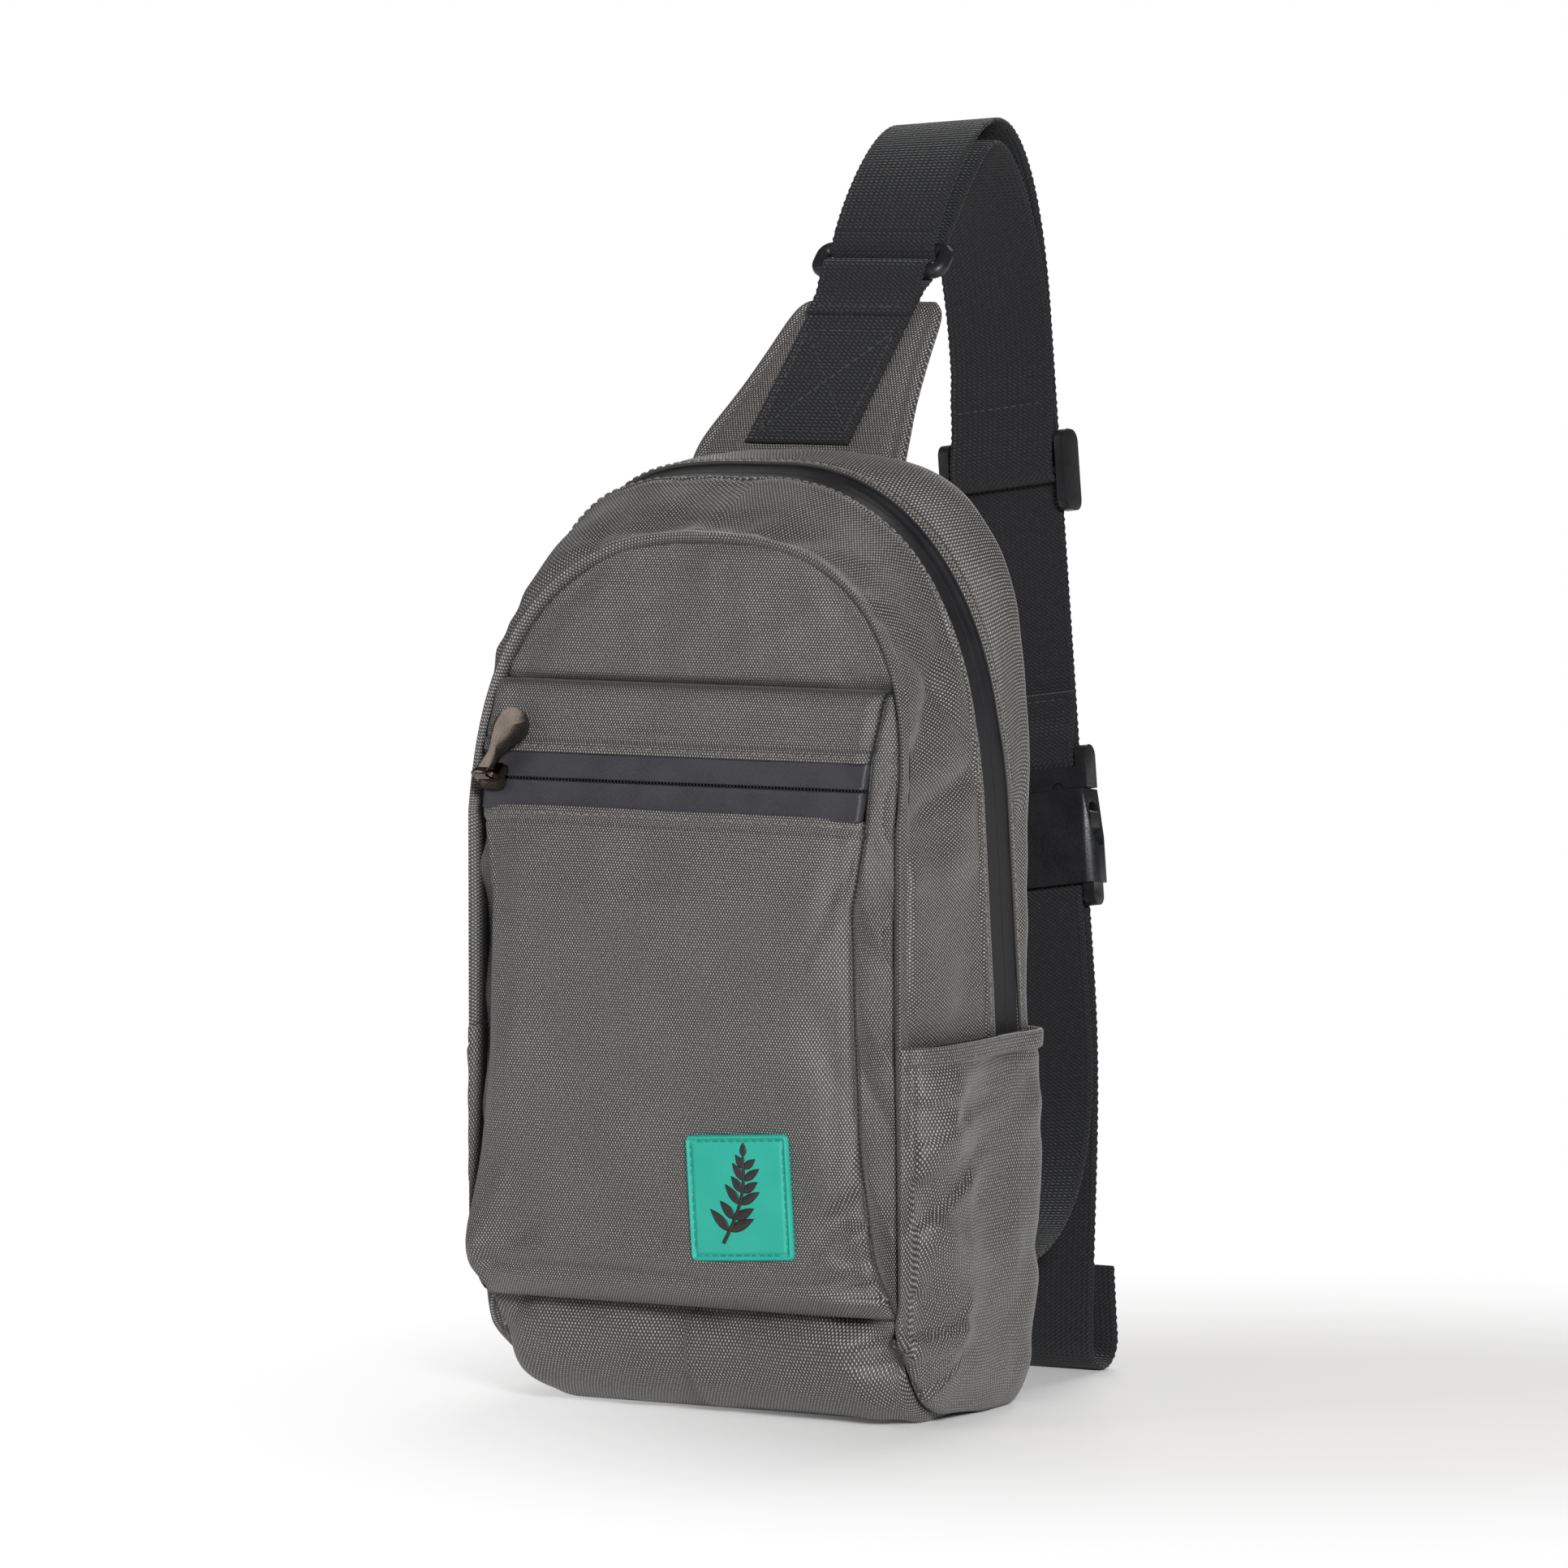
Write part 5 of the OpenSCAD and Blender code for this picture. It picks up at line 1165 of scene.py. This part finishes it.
# Back panel, wing and anchor

def closed_pad(front, back):
    """Rings round a flat pad: each row goes across its front and back across its rear."""
    return np.concatenate([front, back[:, ::-1]], axis=1)


# The back's cloth border, and the places and width of the channels sewn into its pad
PAD_BORDER, CHANNEL_X, CHANNEL_W, CHANNELS = 12.0, 6, 2.2, (52, 104, 156, 208)
UNDER_WING_Z, UNDER_WING_X = 246, 48  # where the wing lies on the pad and presses it flat


def build_back():
    """Padded back with sewn channels, in open mesh, inside a cloth border."""
    j = even(lambda step: skin(BACK_STATION, step), 0, TOP, 150)
    right, left = skin(BACK_STATION, j), skin(BACK_STATION, -j)
    heights = np.linspace(3.4, float(right[-1, 2]) - 0.4, 150)
    rx = np.interp(heights, right[:, 2], right[:, 0])
    lx = np.interp(heights, left[:, 2], left[:, 0])
    u = np.sin(np.linspace(-1, 1, 90) * math.pi / 2)
    x = (rx + lx)[:, None] / 2 + u * (rx - lx)[:, None] / 2
    z = heights[:, None] + 0 * x
    edge = np.minimum((1 - np.abs(u))[None] * FRONT_HALF_W, np.minimum(z - 3, heights[-1] + 0.8 - z))
    swell = 3.2 * smooth(edge / 5) + 2.2 * smooth((edge - PAD_BORDER) / 10)
    inside = smooth((edge - PAD_BORDER - 4) / 8)
    channel = bell(np.abs(x) - CHANNEL_X, CHANNEL_W) * inside
    cross = sum(bell(z - 0.5 * np.abs(x) - at, CHANNEL_W) for at in CHANNELS)
    swell -= 1.8 * np.maximum(channel, cross * (np.abs(x) > CHANNEL_X) * inside)
    swell -= 1.1 * bell(edge - PAD_BORDER, 1.2)
    swell = np.where((z > UNDER_WING_Z) & (np.abs(x) < UNDER_WING_X), np.minimum(swell, 3.6), swell)
    p = np.stack([x, BACK_Y + 0.3 + np.minimum(swell, 5.2), z], -1)
    rear = np.stack([x, BACK_Y - 1.5 + 0 * x, z], -1)
    uv = weave(x, z)
    piece = tube("back_pad", closed_pad(p, rear), MESH, closed_pad(uv, uv), slot="cloth", replaces=["back_panel"])
    flip_outward(piece)


def flip_outward(piece):
    """Turns a closed mesh's faces outward."""
    made = bmesh.new()
    made.from_mesh(piece.data)
    bmesh.ops.recalc_face_normals(made, faces=made.faces)
    made.to_mesh(piece.data)
    made.free()


WING_LEAN, WING_L, WING_BEND, WING_T, WING_SKEW = 33, 57, 302, 5.5, 10.5
WING_MID_Y = BACK_FACE + WING_T / 2 + WEB_GAP
WING_UP, WING_OUT = rise_of(WING_LEAN), rise_of(WING_LEAN - 90)
WING_FOOT = np.array([0, WING_MID_Y + 4, WING_BEND])
WING_FACE = WING_FOOT + WING_OUT * (WING_T / 2 + WEB_GAP + WEB_T / 2)


def wing_x(s):
    return -WING_SKEW * np.maximum(0, 1 - s / WING_L)


def on_wing(s, n, x=0.0):
    return spot(WING_FACE, (WING_UP, s), (WING_OUT, n), (X_AXIS, wing_x(s) + x))


def build_wing():
    """The padded wing: soft rolled edges and sides that curve in."""
    low = [(250, 0, 84), (290, 0, 79.8), (296.5, 1.2, 78)]
    path = [((wing_x(0), WING_MID_Y + back, z), w) for z, back, w in low]
    path += [(WING_FOOT + WING_UP * s + X_AXIS * wing_x(s), w)
             for s, w in ((0, 78), (17.1, 67.9), (37, 58.8), (WING_L, 54))]
    line = resample([[*p, w] for p, w in path], 1.2, 40)
    centre, width = line[:, :3], line[:, 3]
    up = up_from(centre, X_AXIS)
    if up[-1] @ WING_OUT < 0:
        up = -up
    run = run_of(centre)
    left = run[-1] - run
    turn = np.linspace(0, 2 * math.pi, 72, endpoint=False)
    c, s = np.cos(turn), np.sin(turn)
    across = np.sign(c) * np.abs(c) ** 0.5
    thick = np.sign(s) * np.abs(s) ** 0.62
    end = np.sqrt(np.clip(1 - (1 - np.minimum(left, 4) / 4) ** 2, 0.02, 1))
    corner = 1 - 0.16 * np.exp(-left / 3.0)
    rings = (centre[:, None] + X_AXIS * across[None, :, None] * (width / 2 * corner)[:, None, None]
             + up[:, None] * (thick[None] * (WING_T / 2 * end)[:, None])[..., None])
    edge = (1 - np.abs(across))[None] * width[:, None] / 2
    roll = 0.5 * bell(edge - 1.5, 1.6) - 0.7 * bell(edge - 4.4, 1.0)
    roll = roll + 0.3 * waves(rings, 26, 81)
    under = np.abs(across)[None] * (width[:, None] / 2) < WEB_W / 2 + 1
    roll = np.where(under & (thick[None] > 0), np.minimum(roll, 0), roll)
    rings = rings + up[:, None] * (np.sign(thick)[None] * roll * end[:, None])[..., None]
    uv = weave(across * width[:, None] / 2, run[:, None])
    piece = tube("wing_pad", rings, CLOTH, uv, slot="cloth", replaces=["wing_panel"])
    flip_outward(piece)


RING_R, RING_PITCH, RING_LEAN = 2.5, 9.2, 45
RING_WRAP = RING_R + WEB_GAP + WEB_T / 2
RING_S = WING_L + 9.5
RING_LOW = on_wing(RING_S, 0)
RING_HIGH = RING_LOW + RING_PITCH * rise_of(RING_LEAN)


def wing_strap():
    """Webbing sewn on the wing, round the ring's lower bar and back."""
    bend = WING_L + 1
    t = np.linspace(0.1, 0.9, 9)
    under = np.stack([bend + (RING_S - bend) * t, -RING_WRAP * (1 - np.cos(math.pi * t)) / 2], -1)
    a = np.radians(np.linspace(-90, 90, 19))
    bar = np.stack([RING_S + RING_WRAP * np.cos(a), RING_WRAP * np.sin(a)], -1)
    t = np.linspace(0.1, 1, 10)
    over = np.stack([RING_S + (WING_L - 3 - RING_S) * t,
                     RING_WRAP + (LAYER - RING_WRAP) * (1 - np.cos(math.pi * t)) / 2], -1)
    route = np.concatenate([[[1, 0], [WING_L / 2, 0], [bend, 0]], under, bar, over, [[WING_L - 8, LAYER]]])
    webbing("wing_strap", held(on_wing(*route.T), X_AXIS), 0.8, replaces=["wing_webbing"])
    thread = Thread()
    half, low, high, top = WEB_W / 2 - 3, 5.0, WING_L - 14, WING_L - 5.5
    box = [(-half, low), (half, low), (half, high), (-half, high), (-half, low), (half, high)]
    ends = list(zip(box[:-1], box[1:])) + [((half, low), (-half, high)), ((-half, top), (half, top))]
    thread.rows(ends, 40, lambda x, s: on_wing(s, WEB_T / 2 + LAYER * (s > high), x), WING_OUT, *WING_STITCH)
    thread.make("wing_stitching", THREAD_PALE, slot="webbing")


# Straps

LEAN_SIDE, LEAN_BACK = math.radians(8.2), math.radians(7.3)
STRAND_FOOT = np.array([28.0, 137, 186])
GLIDE_UP, GLIDE_H, PLUG_UP, LAP = 106, 27, 11, 22
BAR_WRAP = 1.5 + WEB_GAP + WEB_T / 2
TURN_SLACK = 1.1  # a sewn turn sits a little off its bar
GLIDE_BAR_Y = -WEB_T - 0.35 - BAR_WRAP
LOCK_Z = -31 - 4.2


def strand_turn(p):
    """A direction of the upright strand, leaned back and to the side."""
    x, y, z = p
    y, z = (y * math.cos(LEAN_BACK) + z * math.sin(LEAN_BACK), z * math.cos(LEAN_BACK) - y * math.sin(LEAN_BACK))
    x, z = (x * math.cos(LEAN_SIDE) - z * math.sin(LEAN_SIDE), z * math.cos(LEAN_SIDE) + x * math.sin(LEAN_SIDE))
    return np.array([x, y, z])


STRAND_AXIS, STRAND_UP, STRAND_OUT = (strand_turn(v) for v in ((1, 0, 0), (0, 0, 1), (0, 1, 0)))


def on_strand(y, z, x=0.0):
    return spot(STRAND_FOOT, (STRAND_AXIS, x), (STRAND_OUT, y), (STRAND_UP, z))


def bezier(p, q, r, s, count=40):
    t = np.linspace(0, 1, count)[:, None]
    return (1 - t) ** 3 * p + 3 * t * (1 - t) ** 2 * q + 3 * t * t * (1 - t) * r + t ** 3 * s


def turning(points, first, last):
    """Points with a width axis that turns from the first to the last."""
    t = np.linspace(0, 1, len(points))[:, None]
    return np.concatenate([points, unit(first + (last - first) * t)], -1)


def held(points, axis):
    """Points with one width axis."""
    return np.concatenate([points, np.broadcast_to(axis, points.shape)], -1)


FRONT_TURN, REAR_TURN = 28, 38  # how the strap's layers lean where they leave the ring
FRONT_RISE, REAR_RISE = rise_of(FRONT_TURN), rise_of(REAR_TURN)
FRONT_LEAVE = arc(RING_HIGH, RING_WRAP, 180 - FRONT_TURN)
STRAP_START = FRONT_LEAVE + FRONT_RISE * 5
ARCH_TOP = np.array([1, 128, 408 - WEB_T / 2])
INNER_TOP = ARCH_TOP - [0, 1, 6]


def bar_turn(bar_y, bar_z, low, high, slack=TURN_SLACK):
    """The strand's route round a bar."""
    a = np.radians(np.linspace(low, high, 17))
    return np.stack([bar_y + BAR_WRAP * np.cos(a), bar_z + (BAR_WRAP + slack) * np.sin(a)], -1)


def shoulder_strap():
    """The outer layer, from the ring over the arch to the buckle's plug, and its sewn lap."""
    top = on_strand(0, 160)
    rise = bezier(STRAP_START, STRAP_START + FRONT_RISE * 14, ARCH_TOP - [0, 16, 0], ARCH_TOP)
    fall = bezier(ARCH_TOP, ARCH_TOP + [0, 18, 0], top + STRAND_UP * 38, top)
    lap = [[-1.8 * BAR_WRAP, PLUG_UP + LAP * 0.3], [-1.25 * LAYER, PLUG_UP + LAP * 0.62],
           [-LAYER, PLUG_UP + LAP * 0.85], [-LAYER, PLUG_UP + LAP]]
    down = np.concatenate([[[0, GLIDE_UP + GLIDE_H], [0, GLIDE_UP - GLIDE_H]],
                           bar_turn(-BAR_WRAP, PLUG_UP, 0, -180), lap])
    line = np.concatenate([turning(np.concatenate([rise, fall[1:]]), X_AXIS, STRAND_AXIS),
                           held(on_strand(*down.T), STRAND_AXIS)])
    webbing("shoulder_webbing", line, replaces=["shoulder_strap"])
    thread = Thread()
    run = np.linspace(2.5 - WEB_W / 2, WEB_W / 2 - 2.5, 30)
    for z, behind in ((PLUG_UP + 8.5, LAYER + WEB_T / 2 + 0.35), (PLUG_UP + LAP - 2.5, LAYER + WEB_T / 2)):
        for y, way in ((WEB_T / 2, STRAND_OUT), (-behind, -STRAND_OUT)):
            thread.line(on_strand(y, z, run), way, *LAP_STITCH)
    thread.make("strap_lap_stitching", THREAD_PALE, slot="webbing")


def strap_return():
    """The inner layer, from its loop round the tri-glide back to the ring."""
    lap_y, lap_top = -LAYER, GLIDE_UP + LAP + 4
    rise = [[GLIDE_BAR_Y - BAR_WRAP, GLIDE_UP + 4], [-2.4 * LAYER, GLIDE_UP + LAP * 0.75], [-2 * LAYER, lap_top - 2],
            [-2 * LAYER, lap_top + 1], [lap_y, lap_top + 10], [lap_y, 146]]
    top, leave = on_strand(lap_y, 150), arc(RING_HIGH, RING_WRAP, -REAR_TURN)
    up = bezier(top, top + STRAND_UP * 40, INNER_TOP + [0, 12, 0], INNER_TOP)
    down = bezier(INNER_TOP, INNER_TOP - [0, 10, 2], leave + REAR_RISE * 18, leave)
    loop = np.concatenate([[[lap_y, lap_top], [lap_y, GLIDE_UP + 6]],
                           bar_turn(GLIDE_BAR_Y, GLIDE_UP, 0, -180), rise])
    around = arc(RING_HIGH, RING_WRAP, np.linspace(-REAR_TURN, -180 - FRONT_TURN, 18))
    ring = np.concatenate([down[1:], around[1:], [FRONT_LEAVE + FRONT_RISE * 3, STRAP_START]])
    line = np.concatenate([held(on_strand(*loop.T), STRAND_AXIS), turning(up, STRAND_AXIS, X_AXIS), held(ring, X_AXIS)])
    piece = webbing("return_webbing", line, body=None, replaces=["strap_return"])
    thread = Thread()
    line = on_strand(-2 * LAYER - WEB_T / 2 - 0.05, lap_top - 3, np.linspace(2 - WEB_W / 2, WEB_W / 2 - 2, 30))
    thread.line(line, -STRAND_OUT, *RETURN_STITCH)
    thread.make("return_stitching", THREAD_PALE, body="glide", slot="webbing")
    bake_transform(piece)


ANCHOR = np.array([50, BACK_FACE + 3.05, 42])
TAIL_R, STRAP_PULL, STRAP_STRAIGHT = 9, 43, 40


def lower_strap():
    """From the anchor up to the buckle's lock bar and down again to the tail on the floor."""
    front = -2 * BAR_WRAP
    top = on_strand(front, LOCK_Z - STRAP_STRAIGHT)
    rise = bezier(ANCHOR, ANCHOR + [1, STRAP_PULL, -3], top - STRAND_UP * STRAP_PULL, top)
    hang_top = on_strand(0, LOCK_Z - STRAP_STRAIGHT * 0.62)
    curl_top = np.array([46, 110, TAIL_R + WEB_T / 2 + 0.3])
    hang = bezier(hang_top, hang_top - STRAND_UP * STRAP_PULL, curl_top + [0, 0, STRAP_PULL], curl_top)
    middle = curl_top + [0, TAIL_R, 0]
    curl = arc(middle, TAIL_R, np.linspace(186, 360, 26))
    flap = np.array([middle + [-1, TAIL_R + 1, 6], [43, middle[1] + TAIL_R + 3, 33]])
    over = np.concatenate([[[front, LOCK_Z - STRAP_STRAIGHT / 2]], bar_turn(-BAR_WRAP, LOCK_Z, 180, 0, 2 * TURN_SLACK),
                           [[0, LOCK_Z - STRAP_STRAIGHT * 0.38]]])
    line = np.concatenate([turning(rise, X_AXIS, STRAND_AXIS), held(on_strand(*over.T), STRAND_AXIS),
                           turning(hang, STRAND_AXIS, X_AXIS), held(np.concatenate([curl, flap]), X_AXIS)])
    piece = webbing("lower_webbing", line, body=None, replaces=["lower_strap"])
    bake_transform(piece)


def build_anchor():
    """The sewn tab that carries the lower strap, a soft padded plate on the back."""
    w, h, r, inset = WEB_W + 6, 34, 4, 3.5
    x, z, d = rounded_plate(w, h, r, 40)
    y = BACK_FACE + 1.0 + 1.9 * smooth(d / 2.5) - 0.5 * bell(d - inset, 0.8)
    panel("anchor_tab", np.stack([ANCHOR[0] + x, y, ANCHOR[2] + z], -1), CLOTH, 1.5, slot="cloth",
          replaces=["strap_anchor"])
    thread = Thread()
    thread.rows(box_sides(w / 2 - inset, h / 2 - inset), 30,
                lambda x, z: np.stack([ANCHOR[0] + x, BACK_FACE + 2.45 + 0 * x, ANCHOR[2] + z], -1), Y_AXIS)
    thread.make("anchor_stitching", THREAD, slot="cloth")


# Hard pieces keep their CAD shape, with broken edges

def dress(node, material, edge):
    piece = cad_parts[node]
    piece.data.materials.clear()
    piece.data.materials.append(material)
    weld = piece.modifiers.new("weld", "WELD")
    weld.merge_threshold = 1e-5
    bevel = piece.modifiers.new("edge", "BEVEL")
    bevel.width, bevel.segments, bevel.limit_method = edge * MM, 3, "ANGLE"
    bevel.angle_limit = math.radians(35)
    bevel.harden_normals = True
    piece.data.shade_smooth()


HARDWARE = [
    (PLASTIC, 0.45, ["strap_ring", "triglide", "buckle_plug", "buckle_arm_left", "buckle_arm_right", "buckle_socket"]),
    (METAL, 0.4, ["main_zip_slider", "front_zip_slider", "main_zip_puller", "front_zip_puller"]),
    (BOARD, 0.3, ["base_board"]), (FOAM, 0.5, ["back_foam"]),
]


def build_hardware():
    for material, edge, nodes in HARDWARE:
        for node in nodes:
            dress(node, material, edge)


# Stage

SHADE_AT = (0.15, 0.08, 0)  # middle of the floor that is shaded, in metres


def build_stage():
    """A floor that turns white to the eye away from the bag."""
    bpy.ops.mesh.primitive_grid_add(x_subdivisions=8, y_subdivisions=8, size=12)
    floor = bpy.context.object
    floor.name = "floor"
    m = Nodes("floor", 0.9, 0.1)
    m.set("Base Color", (0.92, 0.915, 0.91, 1))
    where = m.node("ShaderNodeVectorMath", {0: m.node("ShaderNodeTexCoord").outputs["Object"], 1: SHADE_AT},
                   operation="SUBTRACT").outputs[0]
    far = m.ramp(m.node("ShaderNodeVectorMath", {0: where}, operation="LENGTH").outputs["Value"], 0.1, 0.36)
    path = m.node("ShaderNodeLightPath")
    seen = m.math("MAXIMUM", m.math("MAXIMUM", path.outputs["Is Camera Ray"], path.outputs["Is Glossy Ray"]),
                  path.outputs["Is Transmission Ray"])
    bright = m.node("ShaderNodeBsdfDiffuse", {"Color": (1.08, 1.06, 1.05, 1)})
    ground = m.node("ShaderNodeMixShader", {0: seen, 1: m.shader.outputs[0], 2: bright.outputs[0]})
    white = m.node("ShaderNodeEmission", {"Color": (1, 1, 1, 1), "Strength": 1.0})
    mixed = m.node("ShaderNodeMixShader", {0: m.times(far, seen), 1: ground.outputs[0], 2: white.outputs[0]})
    m.tree.links.new(mixed.outputs[0], m.tree.nodes["Material Output"].inputs[0])
    floor.data.materials.append(m.material)


# Lights: name, place and size in metres, power and colour
LIGHTS = [
    ("key", (1.85, -2.15, 1.15), 0.6, 84, (0.97, 0.99, 1.0)), ("left", (-1.4, -1.5, 1.2), 1.0, 6, (1.0, 0.98, 0.96)),
    ("rim", (-0.4, 1.9, 1.5), 1.2, 26, (1.0, 1.0, 1.0)),
]
LIT_AT = Vector((0, 0.03, 0.15))


def build_light():
    """A world that is white to the camera and dim as a light, and the lights."""
    world = bpy.data.worlds.new("studio")
    bpy.context.scene.world = world
    world.use_nodes = True
    tree = world.node_tree
    path = tree.nodes.new("ShaderNodeLightPath")
    level = tree.nodes.new("ShaderNodeMapRange")
    level.inputs[3].default_value, level.inputs[4].default_value = 0.12, 1.0
    tree.links.new(path.outputs["Is Camera Ray"], level.inputs[0])
    tree.links.new(level.outputs[0], tree.nodes["Background"].inputs["Strength"])
    tree.nodes["Background"].inputs["Color"].default_value = (1, 1, 1, 1)
    for name, place, size, power, colour in LIGHTS:
        data = bpy.data.lights.new(name, "AREA")
        data.size, data.energy, data.color = size, power, colour
        lamp = link(name, data)
        lamp.location = place
        lamp.rotation_euler = (LIT_AT - lamp.location).to_track_quat("-Z", "Y").to_euler()


def build_camera():
    data = bpy.data.cameras.new("camera")
    data.lens, data.sensor_width, data.clip_end = 223.6, 36, 50
    camera = link("camera", data)
    camera.location = (1.5082, -2.7016, 0.4251)
    camera.rotation_euler = (math.radians(85.8), 0, math.radians(29))
    bpy.context.scene.camera = camera


bpy.context.scene.view_settings.view_transform = "Standard"
build_camera()
build_body()
build_patch()
build_back()
build_wing()
wing_strap()
shoulder_strap()
strap_return()
lower_strap()
build_anchor()
build_hardware()
build_stage()
build_light()
